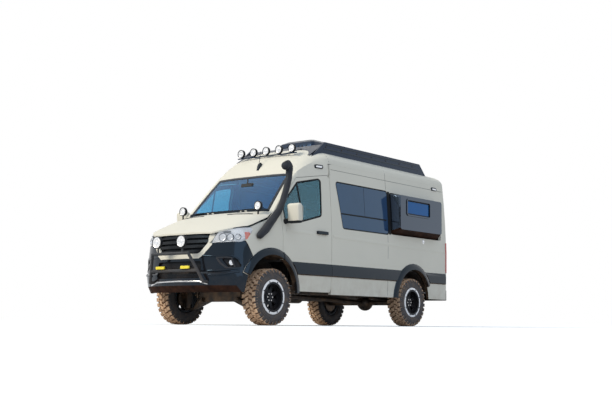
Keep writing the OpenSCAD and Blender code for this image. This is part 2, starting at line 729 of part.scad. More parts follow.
module intake_outline(g) {
    offset(delta = -g) rounded(surround_w / 2) translate([-intake_y, intake_z0])
        square([2 * intake_y, intake_z1 - intake_z0]);
}
// The opening round a fog lamp, shrunk by g: shares of the half width and of the hood's edge height
fog_shares = [[0.69, 0.717], [0.79, 0.6163], [0.925, 0.6124], [0.875, 0.7093]];
fog_corner = 25;
module fog_outline(g) {
    offset(delta = -g) rounded(fog_corner)
        polygon([for (p = fog_shares) [p[0] * half_w, p[1] * hood_front_z]]);
}
lamp_split_z = lamp_low_z - panel_gap;
module front_bumper() {
    color("black") difference() {
        intersection() {
            fascia_block(0, -fascia_wall);
            across(-half_w - overrun, half_w + overrun) bumper_zone(0);
        }
        along(nose_base_x, nose_x + overrun) {
            surround_outline(seat_gap);
            intake_outline(0);
            for (s = [-1, 1]) scale([s, 1]) fog_outline(0);
            translate([-lamp_low_y, lamp_split_z]) square([2 * lamp_low_y, half_w]);
        }
        mirrored() lamp_room();
    }
}

// Round bar between two points
module tube(a, b, r) {
    v = b - a;
    translate(a) rotate([0, acos(v[2] / norm(v)), atan2(v[1], v[0])]) cylinder(h = norm(v), r = r);
}
// Guard bar: hoop, cross bar and feet against the bumper
hoop_ahead = 1090;
hoop_x = axle_f + hoop_ahead;
hoop_y = 351;
hoop_z = 983;
cross_ahead = 1010;
cross_x = axle_f + cross_ahead;
cross_y = 455;
cross_z = 750;
foot_ahead = 962;
foot_x = axle_f + foot_ahead;
foot_y = 521;
foot_z = 595;
foot_run = 105;
stalk_r = 13;
module bull_bar() {
    color("dimgray") difference() {
        union() {
            tube([hoop_x, -hoop_y, hoop_z], [hoop_x, hoop_y, hoop_z], guard_tube_r);
            tube([cross_x, -cross_y, cross_z], [cross_x, cross_y, cross_z], guard_tube_r);
            for (s = [-1, 1]) {
                translate([hoop_x, s * hoop_y, hoop_z]) sphere(r = guard_tube_r + lap);
                tube([hoop_x, s * hoop_y, hoop_z], [cross_x, s * cross_y, cross_z], guard_tube_r);
                translate([cross_x, s * cross_y, cross_z]) sphere(r = guard_tube_r + lap);
                tube([cross_x, s * cross_y, cross_z], [foot_x, s * foot_y, foot_z], guard_tube_r);
                translate([foot_x, s * foot_y, foot_z]) sphere(r = guard_tube_r + lap);
                tube([foot_x, s * foot_y, foot_z], [foot_x - foot_run, s * foot_y, foot_z], guard_tube_r);
                tube([hoop_x, s * guard_lamp_y, hoop_z],
                    [hoop_x, s * guard_lamp_y, guard_lamp_z - guard_lamp_r], stalk_r);
            }
        }
        fascia_block(seat_gap, -deep_overrun);
        for (s = [-1, 1]) guard_lamp(s, seat_gap);
    }
}

// Lamps: round housings with a lens set in each
lamp_depth = 80;
lens_set = 12;
lens_rim = 10;
guard_lamp_y = 239;
guard_lamp_z = 1147;
roof_lamp_back = 927;
roof_lamp_x = axle_f - roof_lamp_back;
roof_lamp_z = 2712;
roof_lamp_y = 519;
roof_lamps = 5;
ditch_ahead = 118;
ditch_x = axle_f + ditch_ahead;
ditch_y = 752;
ditch_z = 1707;
module round_lamp(r, g = 0) {
    rotate([0, -90, 0]) {
        cylinder(h = lamp_depth / 2, r = r + g);
        translate([0, 0, lamp_depth / 2]) cylinder(h = lamp_depth / 2 + g, r1 = r + g, r2 = r / 2 + g);
    }
}
module guard_lamp(s, g = 0) {
    translate([front_x, s * guard_lamp_y, guard_lamp_z]) round_lamp(guard_lamp_r, g);
}
lamp_places = concat(
    [for (s = [-1, 1]) [[front_x, s * guard_lamp_y, guard_lamp_z], guard_lamp_r]],
    [for (y = steps(-roof_lamp_y, roof_lamp_y, roof_lamps - 1))
        [[roof_lamp_x, y, roof_lamp_z], roof_lamp_r]]);
hood_lamp_places = [for (s = [-1, 1]) [[ditch_x, s * ditch_y, ditch_z], roof_lamp_r]];
lamp_foot_r = 12;
lamp_foot_drop = 145;
module lamp_shells(places) {
    for (place = places) translate(place[0]) difference() {
        round_lamp(place[1]);
        rotate([0, -90, 0]) translate([0, 0, -overrun])
            cylinder(h = overrun + lens_set, r = place[1] - lens_rim);
    }
}
module lamp_faces(places) {
    for (place = places) translate(place[0]) rotate([0, -90, 0])
        translate([0, 0, lens_set / 3]) cylinder(h = lens_set * 2 / 3, r = place[1] - lens_rim - seat_gap);
}
fog_share = 0.835;
fog_y = fog_share * half_w;
fog_z = 858;
fog_r = 46;
fog_set = [28, 38];
fog_as = steps(32, 80, 6);
fog_zs = [730, 960];
fog_depth = 24;
fog_turn = 46;
fog_place = fascia(fascia_a(fog_y), fog_z, -fog_set[0]);
// Amber lamps on the guard bar's cross tube: depth, length, height
amber_size = [34, 170, 42];
amber_y = 243;
amber_place = [cross_x - amber_size[0] / 2, amber_y - amber_size[1] / 2, cross_z + guard_tube_r + seat_gap];
amber_lens_t = 8;
module lamp_housings() {
    color("black") {
        lamp_shells(lamp_places);
        mirrored() {
            // A plate closes the fog lamp's opening, with the lamp's rim on it
            intersection() {
                mirror([0, 1, 0]) fascia_sheet(fog_as, fog_zs, -fog_set[0], -fog_set[1]);
                along(nose_base_x, nose_x + overrun) fog_outline(seat_gap);
                across(0, half_w + overrun) bumper_zone(0);
            }
            translate(fog_place) rotate([0, 90, fog_turn]) cylinder(h = fog_depth, r = fog_r, center = true);
            translate(amber_place) cube(amber_size);
        }
    }
}
module lamp_lenses() {
    color("white") {
        lamp_faces(lamp_places);
        mirrored() {
            translate(fog_place) rotate([0, 90, fog_turn]) translate([0, 0, fog_depth / 2 + seat_gap])
                cylinder(h = fog_depth / 3, r = fog_r - lens_rim);
            translate(amber_place + [amber_size[0] + seat_gap, 0, 0])
                cube([amber_lens_t, amber_size[1], amber_size[2]]);
        }
    }
}
// Lamps on brackets at the rear corners of the hood
module hood_lamps() {
    color("black") difference() {
        union() {
            lamp_shells(hood_lamp_places);
            for (place = hood_lamp_places) translate(place[0] - [lamp_depth / 4, 0, lamp_foot_drop])
                cylinder(h = lamp_foot_drop - place[1] + lens_rim, r = lamp_foot_r);
        }
        body_sheet(hood_grid, seat_gap, -deep_overrun / 2);
    }
}
module hood_lamp_lenses() {
    color("white") lamp_faces(hood_lamp_places);
}

// Side cladding: bands along the sills with a sloped upper face, and wheel arch flares
// Heights as shares of the waist's, thickness as shares of the band's own
band_shares = [[0.5736, 0.56], [0.583, 1], [0.673, 1], [0.717, 0.17]];
band_t = 18;
band_zs = [for (row = band_shares) row[0] * waist_z];
band_ts = [for (row = band_shares) row[1] * band_t];
flare_t = 38;
flare_w = 98;
flare_r_shares = [0, 0.3, 0.75, 1];
flare_d_shares = [1, 1, 0.6, 0.2];
flare_steps = 14;
flare_lift = 22;
// A point of an arch flare: k is its ring, t runs from its rear end to its front end
function flare_point(cx, cz, r, ends, x0, x1, k, t, d) =
    let(rr = r + flare_w * flare_r_shares[k],
        a0 = x0 > cx + rr * cos(ends[0]) ? acos((x0 - cx) / rr) : ends[0],
        a1 = x1 < cx + rr * cos(ends[1]) ? acos((x1 - cx) / rr) : ends[1],
        a = mix(a0, a1, t), x = cx + rr * cos(a), z = cz + rr * sin(a))
    skin(x, q_at(x, z), d + flare_lift * max(0, x - nose_base_x) / nose_len);
module flare(cx, cz, r, ends, x0, x1, n = flare_steps) {
    ks = [0 : len(flare_r_shares) - 1];
    sheet_between(
        [for (t = steps(0, 1, n)) [for (k = ks)
            flare_point(cx, cz, r, ends, x0, x1, k, t, flare_t * flare_d_shares[k])]],
        [for (t = steps(0, 1, n)) [for (k = ks) flare_point(cx, cz, r, ends, x0, x1, k, t, seat_gap)]]);
}
rear_flare_ends = [153, 2];
module front_flare(x0, x1, n) {
    flare(front_arch_x, arch_z, front_arch_r, front_flare_ends, x0, x1, n);
}
// Where a band meets an arch flare at height z, before (s = -1) or behind (s = 1) the arch
function flare_edge(cx, cz, r, s, z) = cx + s * (sqrt(pow(r + flare_w, 2) - pow(z - cz, 2)) + seat_gap);
// A band between two ends that may follow a flare: ends0 and ends1 give x at each height
module band(ends0, ends1) {
    rows = [for (t = steps(0, 1, 3)) [for (j = [0 : len(band_zs) - 1])
        let(x = mix(ends0[j], ends1[j], t)) [x, q_at(x, band_zs[j]), band_ts[j]]]];
    sheet_between(
        [for (row = rows) [for (c = row) skin(c[0], c[1], c[2])]],
        [for (row = rows) [for (c = row) skin(c[0], c[1], seat_gap)]]);
}
hinge_bead_r = 6;
flare_end_gap = 5;
module side_cladding() {
    color("black") mirrored() {
        front_flare(door_front_x + panel_gap + flare_end_gap, front_x, flare_steps);
        flare(axle_r, rear_arch_z, rear_arch_r, rear_flare_ends, back_x, side_front_x);
        band([for (z = band_zs) flare_edge(axle_r, rear_arch_z, rear_arch_r, 1, z)],
            [for (z = band_zs) side_front_x]);
        band([for (z = band_zs) body_rear_x + corner_r],
            [for (z = band_zs) flare_edge(axle_r, rear_arch_z, rear_arch_r, -1, z)]);
        door_hinge_bead(1);
    }
}
// Half of a front door's hinge, in the flare's joint: s = 1 on the fender, -1 on the door
door_hinge_x = door_front_x + panel_gap / 2;
door_hinge_z = arch_z + front_arch_r + flare_w / 4;
door_hinge_h = 40;
module door_hinge_bead(s) {
    z0 = s > 0 ? door_hinge_z + barrel_gap / 2 : door_hinge_z - door_hinge_h / 2;
    h = door_hinge_h / 2 - barrel_gap / 2;
    reach = hinge_bead_r * 4;
    translate([door_hinge_x, hinge_y, z0]) cylinder(h = h, r = hinge_bead_r);
    translate([s > 0 ? door_hinge_x : door_hinge_x - reach, hinge_y - hinge_bead_r * 2, z0])
        cube([reach, hinge_bead_r * 2, h]);
}

// Front doors, each with its glass, its black trim and its mirror
door_x_shares = [0.4, 0.3];
door_xs = concat([door_rear_x], steps(mix(door_rear_x, screen_top_x, door_x_shares[0]), screen_top_x, 2),
    steps(mix(screen_top_x, door_front_x, door_x_shares[1]), door_front_x, 3));
door_qs = [0.02, 0.3, 0.65, 1, 1.2, 1.4, 1.6, 1.8, 2];
hinge_in = 12;
hinge_y = side_y(door_hinge_x, door_hinge_z, flare_t) - hinge_in;
module front_door() {
    difference() {
        intersection() {
            body_sheet(grid_of(door_xs, door_qs), 0, -wall);
            side_cut() door_outline(0);
        }
        side_cut() door_glass_outline(0);
    }
}
module front_door_glass() {
    intersection() {
        body_sheet(grid_of(door_xs, [1, 1.2, 1.4, 1.6, 1.8, 2]), -glass_set, -glass_set - glass_t);
        side_cut() door_glass_outline(glass_gap);
    }
}
handle_in = 115;
handle_x = door_rear_x + handle_in;
handle_len = 240;
handle_z = 1389;
handle_h = 44;
handle_t = 34;
module front_door_trim() {
    front_flare(door_rear_x, door_front_x - flare_end_gap, flare_steps / 2);
    door_hinge_bead(-1);
    band([for (z = band_zs) door_rear_x],
        [for (z = band_zs) flare_edge(front_arch_x, arch_z, front_arch_r, -1, z)]);
    body_sheet(
        side_grid([handle_x, handle_x + handle_len], handle_z - handle_h / 2, handle_z + handle_h / 2, 1),
        handle_t, seat_gap);
}
mirror_back = 75;
mirror_x = door_front_x - mirror_back;
mirror_z = 1610;
mirror_h = 290;
mirror_t = 110;
mirror_stand = 45;
mirror_in_y = half_w + mirror_stand;
mirror_reach = half_w + mirror_out;
mirror_r = 40;
mirror_arm_drop = 87;
mirror_arm_r = 32;
module door_mirror() {
    foot_y = side_y(mirror_x, pillar_foot_z, seat_gap);
    hull() for (y = [mirror_in_y, mirror_reach - mirror_r]) for (z = [-1, 1])
        translate([mirror_x + z * mirror_r / 4, y, mirror_z + z * (mirror_h / 2 - mirror_r)])
            scale([mirror_t / (2 * mirror_r), 1, 1]) sphere(r = mirror_r, $fn = 20);
    difference() {
        hull() {
            translate([mirror_x, mirror_in_y, mirror_z - mirror_arm_drop]) sphere(r = mirror_arm_r, $fn = 16);
            translate([mirror_x, foot_y, pillar_foot_z]) sphere(r = mirror_r, $fn = 16);
        }
        body_sheet(grid_of(door_xs, [0.8, 1, 1.2, 1.4, 1.6]), seat_gap, -deep_overrun);
    }
}
module door_left() { color("gainsboro") front_door(); }
module door_right() { color("gainsboro") mirror([0, 1, 0]) front_door(); }
module door_left_glass() { color([0.1, 0.12, 0.15]) front_door_glass(); }
module door_right_glass() { color([0.1, 0.12, 0.15]) mirror([0, 1, 0]) front_door_glass(); }
module door_left_trim() { color("black") front_door_trim(); }
module door_right_trim() { color("black") mirror([0, 1, 0]) front_door_trim(); }
module mirror_left() { color("gainsboro") door_mirror(); }
module mirror_right() { color("gainsboro") mirror([0, 1, 0]) door_mirror(); }

// Rear doors in the rear opening
rear_door_t = 50;
rear_door_z = 665;
rear_qs = concat(steps(q_at(body_rear_x, rear_door_z), 1, 2), steps(1.25, 2, 3), steps(2.15, 3, 8));
rear_window_shares = [0.16, 0.86];
rear_window_z0 = 1500;
rear_window_z1 = 2200;
module rear_door_outline(g) {
    offset(delta = -g) intersection() {
        polygon(concat([[0, rear_door_z]],
            [for (q = rear_qs) let(p = skin(body_rear_x, q, -wall - panel_gap)) [p[1], p[2]]]));
        translate([0, rear_door_z]) square([half_w, roof_z]);
    }
}
module rear_window_outline(g) {
    w = half_w - corner_r - wall;
    offset(delta = -g) rounded(glass_corner) translate([w * rear_window_shares[0], rear_window_z0])
        square([w * (rear_window_shares[1] - rear_window_shares[0]), rear_window_z1 - rear_window_z0]);
}
module rear_door() {
    for (z = back_hinge_zs) {
        translate([back_hinge_x, back_hinge_y, 0]) barrel_moving(z);
        leaf(z, barrel_h, back_hinge_x - leaf_t / 2, body_rear_x - seat_gap,
            back_hinge_y - leaf_len, back_hinge_y);
        leaf(z, barrel_h, back_hinge_x, body_rear_x + lap,
            back_hinge_y - leaf_len, back_hinge_y - leaf_len / 2);
    }
    along(body_rear_x, body_rear_x + rear_door_t) difference() {
        intersection() {
            rear_door_outline(0);
            translate([panel_gap / 2, 0]) square([half_w, roof_z]);
        }
        rear_window_outline(0);
    }
}
module rear_door_glass() {
    along(body_rear_x + glass_set, body_rear_x + glass_set + glass_t) rear_window_outline(glass_gap);
}
module rear_door_left() { color("gainsboro") rear_door(); }
module rear_door_right() { color("gainsboro") mirror([0, 1, 0]) rear_door(); }
module rear_door_left_glass() { color([0.1, 0.12, 0.15]) rear_door_glass(); }
module rear_door_right_glass() { color([0.1, 0.12, 0.15]) mirror([0, 1, 0]) rear_door_glass(); }
tail_z0 = 940;
tail_z1 = 1476;
tail_t = 12;
module tail_lamps() {
    color("red") mirrored() body_sheet(
        grid_of([for (a = [36 : 18 : 90]) body_rear_x + corner_r * (1 - cos(a))],
            let(ends = [q_at(body_rear_x, tail_z0), q_at(body_rear_x, tail_z1)])
            concat([ends[0]], [for (q = side_qs) if (q > ends[0] && q < ends[1]) q], [ends[1]])),
        tail_t, seat_gap);
}
step_z0 = 460;
step_z1 = 640;
step_r = 15;
module rear_bumper() {
    w = half_w - corner_r / 2;
    color("black") linear_extrude_at(step_z0, step_z1) rounded(step_r) polygon([
        [back_x, -w + corner_r / 2], [back_x, w - corner_r / 2], [back_x + corner_r / 2, w],
        [body_rear_x - seat_gap, w], [body_rear_x - seat_gap, -w], [back_x + corner_r / 2, -w]]);
}
module linear_extrude_at(z0, z1) {
    translate([0, 0, z0]) linear_extrude(z1 - z0) children();
}

// Raised air intake along the left windscreen pillar. Each row: x from the front axle as a share of the
// windscreen's run, y of the half width, height of the windscreen's top, radius of the tube's
snorkel_r = 48;
snorkel_gap = 0.5;
snorkel_shares = [[0.552, 0.99, 0.549, 1.08], [0.371, 0.998, 0.5886, 1.29], [0.069, 0.988, 0.662, 1.17],
    [-0.19, 0.966, 0.718, 1.04], [-0.366, 0.95, 0.779, 1], [-0.5345, 0.93, 0.858, 1],
    [-0.686, 0.91, 0.941, 1]];
// The head turns forward: x and z from the tube's end and radius, in tube radii
snorkel_head_shares = [[-0.17, 3.54, 1.17], [0.62, 4.27, 1.21], [1.79, 3.58, 1.25]];
snorkel_fn = 16;
snorkel_qs = [0.7, 1, 1.2, 1.4, 1.6, 1.8, 1.97, 2.15, edge_q];
module snorkel() {
    route = [for (row = snorkel_shares)
        [[axle_f + row[0] * screen_run, row[1] * half_w, row[2] * screen_top_z], row[3] * snorkel_r]];
    last = route[len(route) - 1][0];
    path = concat(route, [for (row = snorkel_head_shares)
        [last + [row[0], 0, row[1]] * snorkel_r, row[2] * snorkel_r]]);
    color("black") difference() {
        for (i = [0 : len(path) - 2]) hull() for (end = [path[i], path[i + 1]])
            translate(end[0]) sphere(r = end[1], $fn = snorkel_fn);
        body_sheet(grid_of(
            concat(steps(screen_top_x - deep_overrun / 2, cowl_x, 4), steps(hood_rear_x, nose_base_x, 3)),
            snorkel_qs), snorkel_gap, -deep_overrun);
    }
}

// Roof rack: side fairings on the roof, crossbars between them and a lamp bar in front
rack_back = 1080;
rack_front_lean = 360;
rack_rear_in = 300;
rack_front_x = axle_f - rack_back;
rack_top_front_x = rack_front_x - rack_front_lean;
rack_rear_x = body_rear_x + rack_rear_in;
rack_rear_lean = 310;
rack_share = 0.745;
rack_y = rack_share * half_w;
rack_t = 30;
rack_depth = 200;
rack_low_z = roof_z - rack_depth;
rack_bar_w = 60;
rack_bar_h = 40;
rack_bar_drop = 30;
unit_len = 870;
unit_back = 2068;
unit_x = axle_f - unit_back;
unit_rear_x = unit_x - unit_len / 2;
bar_shares = [0.35, 0.6, 0.85];
bar_places = concat([rack_top_front_x - rack_bar_w, unit_rear_x - rack_bar_w * 2],
    [for (share = bar_shares) mix(unit_rear_x, rack_rear_x, share)]);
fairing_t = 20;
lamp_bar_h = 16;
lamp_bar_share = 0.6;
lamp_stay_share = 0.39;
lamp_bar_y = lamp_bar_share * half_w;
lamp_stay_y = lamp_stay_share * half_w;
lamp_stay_back = 260;
lamp_stay_drop = 85;
lamp_bar_x = roof_lamp_x - lamp_depth / 2;
lamp_bar_z = roof_lamp_z - roof_lamp_r - lamp_bar_h - seat_gap;
module roof_rack() {
    half = rack_y + lap;
    top = rack_z - rack_bar_drop;
    color("black") difference() {
        union() {
            mirrored() across(rack_y, rack_y + rack_t) polygon([
                [rack_front_x, rack_low_z], [rack_top_front_x, rack_z],
                [rack_rear_x + rack_rear_lean, rack_z], [rack_rear_x, rack_low_z]]);
            for (x = bar_places) translate([x - rack_bar_w / 2, -half, top - rack_bar_h])
                cube([rack_bar_w, 2 * half, rack_bar_h]);
            across(-half, half) polygon([[rack_front_x, rack_low_z + overrun], [rack_top_front_x, top],
                [rack_top_front_x - fairing_t, top], [rack_front_x - 2 * fairing_t, rack_low_z + overrun]]);
            translate([lamp_bar_x, -lamp_bar_y, lamp_bar_z]) cube([lamp_bar_h, 2 * lamp_bar_y, lamp_bar_h]);
            for (s = [-1, 1]) tube(
                [lamp_bar_x + lamp_bar_h / 2, s * lamp_stay_y, lamp_bar_z + lamp_bar_h / 2],
                [rack_front_x - lamp_stay_back, s * lamp_stay_y, rack_z - lamp_stay_drop], lamp_bar_h / 2);
        }
        roof_block();
    }
}
// Roof unit: a low dome in three tiers, each a share of the unit's plan and height
unit_w = 800;
unit_depth = 60;
unit_low_z = roof_z - unit_depth;
unit_r = 60;
unit_shares = [[1, 0], [0.97, 0.55], [0.86, 0.85], [0.66, 1]];
unit_tier_t = 4;
module roof_unit() {
    color("black") difference() {
        hull() for (tier = unit_shares) let(z = mix(unit_low_z, unit_z - unit_tier_t, tier[1]))
            linear_extrude_at(z, z + unit_tier_t) rounded(unit_r) translate([unit_x, 0])
                square([unit_len, unit_w] * tier[0], center = true);
        roof_block();
    }
}

// Cab fittings. Dashboard section: shares of its depth and of its height
dash_back = 40;
dash_gap = 40;
dash_depth = 290;
dash_z = 1420;
dash_x = door_front_x - dash_back;
dash_half = half_w - wall - cab_taper - dash_gap;
dash_shares = [[0, 0.648], [0, 0.979], [0.69, 1], [1, 0.937], [0.862, 0.775], [0.414, 0.704], [0.207, 0.648]];
wheel_back = 330;
wheel_z = 1275;
wheel_tilt = 55;
wheel_ring_r = 190;
wheel_tube_r = 15;
wheel_hub_r = 60;
wheel_hub_h = 20;
wheel_spoke_w = 30;
wheel_column_r = 30;
wheel_column_len = 160;
module dashboard() {
    color("dimgray") {
        across(-dash_half, dash_half)
            polygon([for (p = dash_shares) [dash_x - p[0] * dash_depth, p[1] * dash_z]]);
        translate([dash_x - wheel_back, seat_y, wheel_z]) rotate([0, -wheel_tilt, 0]) {
            rotate_extrude() translate([wheel_ring_r, 0]) circle(r = wheel_tube_r, $fn = 16);
            translate([0, 0, -wheel_hub_h / 2]) cylinder(h = wheel_hub_h, r = wheel_hub_r);
            for (a = [0, 120, 240]) rotate(a) translate([0, -wheel_spoke_w / 2, -wheel_tube_r / 3])
                cube([wheel_ring_r, wheel_spoke_w, wheel_tube_r * 2 / 3]);
            translate([0, 0, -wheel_column_len]) cylinder(h = wheel_column_len, r = wheel_column_r);
        }
    }
}
// Front seat section: shares of its depth and of its height
seat_ahead = 150;
seat_share = 0.43;
seat_x = door_rear_x + seat_ahead;
seat_y = seat_share * half_w;
seat_w = 480;
seat_depth = 520;
seat_h = 1225;
seat_shares = [[0.115, 0], [0.923, 0], [1, 0.298], [0.962, 0.351], [0.212, 0.335], [0.019, 0.82],
    [0.077, 0.886], [-0.019, 1], [-0.173, 1], [-0.212, 0.869], [-0.038, 0.298]];
module front_seats() {
    color("gray") mirrored() across(seat_y - seat_w / 2, seat_y + seat_w / 2)
        polygon([for (p = seat_shares) [seat_x + p[0] * seat_depth, floor_top + seat_gap + p[1] * seat_h]]);
}

// Floor with toe board, frame rails, jacking pads and rear wheel boxes
floor_low = 585;
floor_top = 635;
floor_half = half_w - cab_taper - sill_tuck - wall - run_gap;
floor_wide = side_y(axle_r, floor_low, -wall) - 2 * seat_gap;
well_t = 20;
floor_front_x = front_arch_x - front_arch_r - well_t;
floor_rear_x = body_rear_x + rear_door_t + run_gap;
toe_half = liner_in_y - run_gap;
toe_top = [dash_x - liner_t, dash_shares[0][1] * dash_z - seat_gap];
rail_y = 360;
rail_w = 80;
rail_z = 480;
rail_front_x = nose_x;
beam_ahead = 600;
beam_x = axle_f + beam_ahead;
beam_size = [60, 2 * rail_y + 2 * lap, 80];
well_y = 690;
jack_w = 90;
jack_h = 20;
jack_runs = [900, 750];
jack_places = [for (x = [axle_f - jack_runs[0], axle_r + jack_runs[1]]) for (s = [-1, 1]) [x, s]];
module underbody() {
    color("darkslategray") difference() {
        union() {
            translate([floor_rear_x, -floor_half, floor_low])
                cube([floor_front_x - floor_rear_x, 2 * floor_half, floor_top - floor_low]);
            // Behind the cab the floor reaches the body sides
            translate([body_rear_x + corner_r, -floor_wide, floor_low])
                cube([side_front_x - body_rear_x - corner_r, 2 * floor_wide, floor_top - floor_low]);
            across(-toe_half, toe_half) polygon([
                [floor_front_x - lap, floor_low], [floor_front_x - lap, floor_top],
                [toe_top[0] - well_t, toe_top[1]], toe_top]);
            mirrored() translate([floor_rear_x, rail_y, rail_z])
                cube([rail_front_x - floor_rear_x, rail_w, floor_low - rail_z + lap]);
            mirrored() across(well_y, floor_wide) difference() {
                rear_arch(rear_arch_r - run_gap);
                translate([axle_r - half_w, -half_w]) square([2 * half_w, half_w + floor_low + lap]);
            }
            for (p = jack_places)
                translate([p[0] - jack_w / 2, p[1] * (rail_y + rail_w / 2) - rail_w / 2, rail_z - jack_h])
                    cube([jack_w, rail_w, jack_h + lap]);
            translate([beam_x, -beam_size[1] / 2, rail_z + jack_h]) cube(beam_size);
        }
        mirrored() across(well_y + well_t, half_w + overrun) rear_arch(rear_arch_r - run_gap - well_t);
        fascia_block(deep_overrun, -fascia_wall - seat_gap);
    }
}
// Engine block over the front axle, with the gearbox behind and below it
engine_back = 180;
engine_rear_x = axle_f - engine_back;
engine_size = [620, 440, 620];
engine_z = 560;
gearbox_size = [560, 300, 180];
gearbox_z = 400;
module engine() {
    color("gray") {
        translate([engine_rear_x, -engine_size[1] / 2, engine_z]) cube(engine_size);
        translate([engine_rear_x - gearbox_size[0], -gearbox_size[1] / 2, gearbox_z])
            cube(gearbox_size + [overrun, 0, 0]);
    }
}
shaft_r = 36;
shaft_flange_r = 52;
shaft_flange_len = 60;
module driveline() {
    from = [engine_rear_x - gearbox_size[0] - seat_gap, 0, gearbox_z + gearbox_size[2] / 2];
    to = [axle_r + diff_r + seat_gap, 0, tyre_r];
    color("dimgray") {
        tube(from - [shaft_flange_len / 2, 0, 0], to, shaft_r);
        tube(from - [shaft_flange_len, 0, 0], from, shaft_flange_r);
    }
}

// Axles, knuckles and wheels
spindle_r = 34;
spindle_gap = 0.3;
axle_tube_r = 48;
diff_r = 140;
disc_r = 150;
disc_t = 26;
disc_lap = 10;
hub_in = 62;
hub_in_y = half_track - hub_in;
disc_y = hub_in_y - disc_t - disc_lap;
spindle_end_y = half_track + disc_lap;
kingpin_in = 118;
kingpin_y = half_track - kingpin_in;
spring_y = 540;
spring_size = [1240, 70, 40];
spring_z = axle_tube_r - spring_size[2] / 3;
shackle_w = 60;
module rear_axle() {
    color("dimgray") translate([axle_r, 0, tyre_r]) {
        rotate([90, 0, 0]) cylinder(h = 2 * (hub_in_y - disc_t), r = axle_tube_r, center = true);
        sphere(r = diff_r);
        mirrored() {
            rotate([-90, 0, 0]) translate([0, 0, disc_y]) {
                cylinder(h = disc_t, r = disc_r);
                cylinder(h = spindle_end_y - disc_y, r = spindle_r);
            }
            translate([-spring_size[0] / 2, spring_y - spring_size[1] / 2, spring_z]) cube(spring_size);
            for (s = [-1, 1]) translate([s * (spring_size[0] - shackle_w) / 2 - shackle_w / 2,
                spring_y - spring_size[1] / 2, spring_z])
                    cube([shackle_w, spring_size[1], floor_low - tyre_r - spring_z - seat_gap]);
        }
    }
}
// Front suspension: a cross member under the rails and an arm out to each kingpin
arm_h = 30;
arm_r = 26;
arm_flat = 175;
knuckle_drop = 150;
knuckle_rise = 170;
knuckle_size = [70, 80];
arm_z = tyre_r - knuckle_drop - arm_h - barrel_gap;
member_z = 340;
member_w = 120;
member_end = 40;
arm_root = [220, 60, 60];
module front_axle() {
    color("dimgray") {
        translate([axle_f - member_w / 2, -rail_y - member_end, member_z])
            cube([member_w, 2 * (rail_y + member_end), rail_z - member_z - seat_gap]);
        mirrored() {
            hull() {
                translate([axle_f - arm_root[0] / 2, rail_y - member_end, member_z]) cube(arm_root);
                translate([axle_f, kingpin_y - arm_flat, arm_z]) cylinder(h = arm_h, r = arm_r);
            }
            translate([axle_f - arm_r, kingpin_y - arm_flat, arm_z]) cube([2 * arm_r, arm_flat, arm_h]);
            translate([axle_f, kingpin_y, arm_z]) cylinder(h = arm_h, r = arm_r);
        }
    }
}
// Steered knuckle: upright, brake disc and spindle
module knuckle() {
    color("gray") translate([axle_f, 0, tyre_r]) {
        translate([-knuckle_size[0] / 2, kingpin_y - knuckle_size[1] / 2, -knuckle_drop])
            cube([knuckle_size[0], knuckle_size[1], knuckle_drop + knuckle_rise]);
        rotate([-90, 0, 0]) {
            translate([0, 0, disc_y]) cylinder(h = disc_t, r = disc_r);
            translate([0, 0, kingpin_y]) cylinder(h = spindle_end_y - kingpin_y, r = spindle_r);
        }
    }
}
module knuckle_left() { knuckle(); }
module knuckle_right() { mirror([0, 1, 0]) knuckle(); }

// Tyre section, out to the lug tips: radius share and width share round the carcass
bead_r = 216;
tyre_shares = [[0, 0.66], [0.12, 0.84], [0.42, 1], [0.72, 0.97], [0.9, 0.9], [0.97, 0.8], [1, 0.6]];
lug_pitches = 20;
groove_w = 26;
groove_depth = 15;
groove_skew = 24;
module tyre() {
    rows = [for (p = tyre_shares) [mix(bead_r, tyre_r, p[0]), p[1] * tyre_w / 2]];
    color([0.12, 0.12, 0.12]) rotate([90, 0, 0]) difference() {
        rotate_extrude($fn = 96) polygon(concat(
            [for (p = rows) [p[0], p[1]]], [for (i = [len(rows) - 1 : -1 : 0]) [rows[i][0], -rows[i][1]]]));
        // Slanted grooves from each shoulder leave the lugs, half a pitch apart on the two sides
        for (s = [-1, 1]) for (i = [0 : lug_pitches - 1]) rotate((i + s / 4) * 360 / lug_pitches)
            translate([tyre_r - groove_depth, 0, 0]) rotate([s * groove_skew, 0, 0])
                translate([0, -groove_w / 2, s > 0 ? groove_w / 2 : -tyre_w])
                    cube([overrun, groove_w, tyre_w - groove_w / 2]);
    }
}
// Wheel: barrel, clamping ring, spoked disc and hub
barrel_in_r = 195;
barrel_half = 102;
ring_in_r = 186;
ring_axial = [112, 124];
spokes = 8;
hub_r = 78;
hub_h = 70;
disc_face = 38;
disc_h = 24;
spoke_gap_shares = [[0.5, -0.06], [0.5, 0.06], [0.91, 0.235], [0.91, -0.235]];
module rim() {
    bead = bead_r - seat_gap;
    color("black") rotate([-90, 0, 0]) difference() {
        union() {
            rotate_extrude($fn = 96) polygon([[barrel_in_r, -barrel_half], [bead, -barrel_half],
                [bead, ring_axial[0]], [ring_r, ring_axial[0]], [ring_r, ring_axial[1]],
                [ring_in_r, ring_axial[1]], [ring_in_r, ring_axial[0] - disc_lap],
                [barrel_in_r, ring_axial[0] - 2 * disc_lap]]);
            translate([0, 0, disc_face - disc_h]) cylinder(h = disc_h, r = barrel_in_r + lap);
            translate([0, 0, disc_face + disc_lap - hub_h]) cylinder(h = hub_h, r = hub_r);
        }
        translate([0, 0, -barrel_half * 2])
            cylinder(h = barrel_half * 2 + spindle_end_y - half_track + disc_lap,
                r = spindle_r + spindle_gap);
        for (i = [0 : spokes - 1]) rotate(i * 360 / spokes) translate([0, 0, disc_face - disc_h - disc_lap])
            linear_extrude(disc_h + 2 * disc_lap) polygon([for (p = spoke_gap_shares) p * barrel_in_r]);
    }
}
module wheel_at(x, side) {
    translate([x, side * half_track, tyre_r]) on_side(side) children();
}
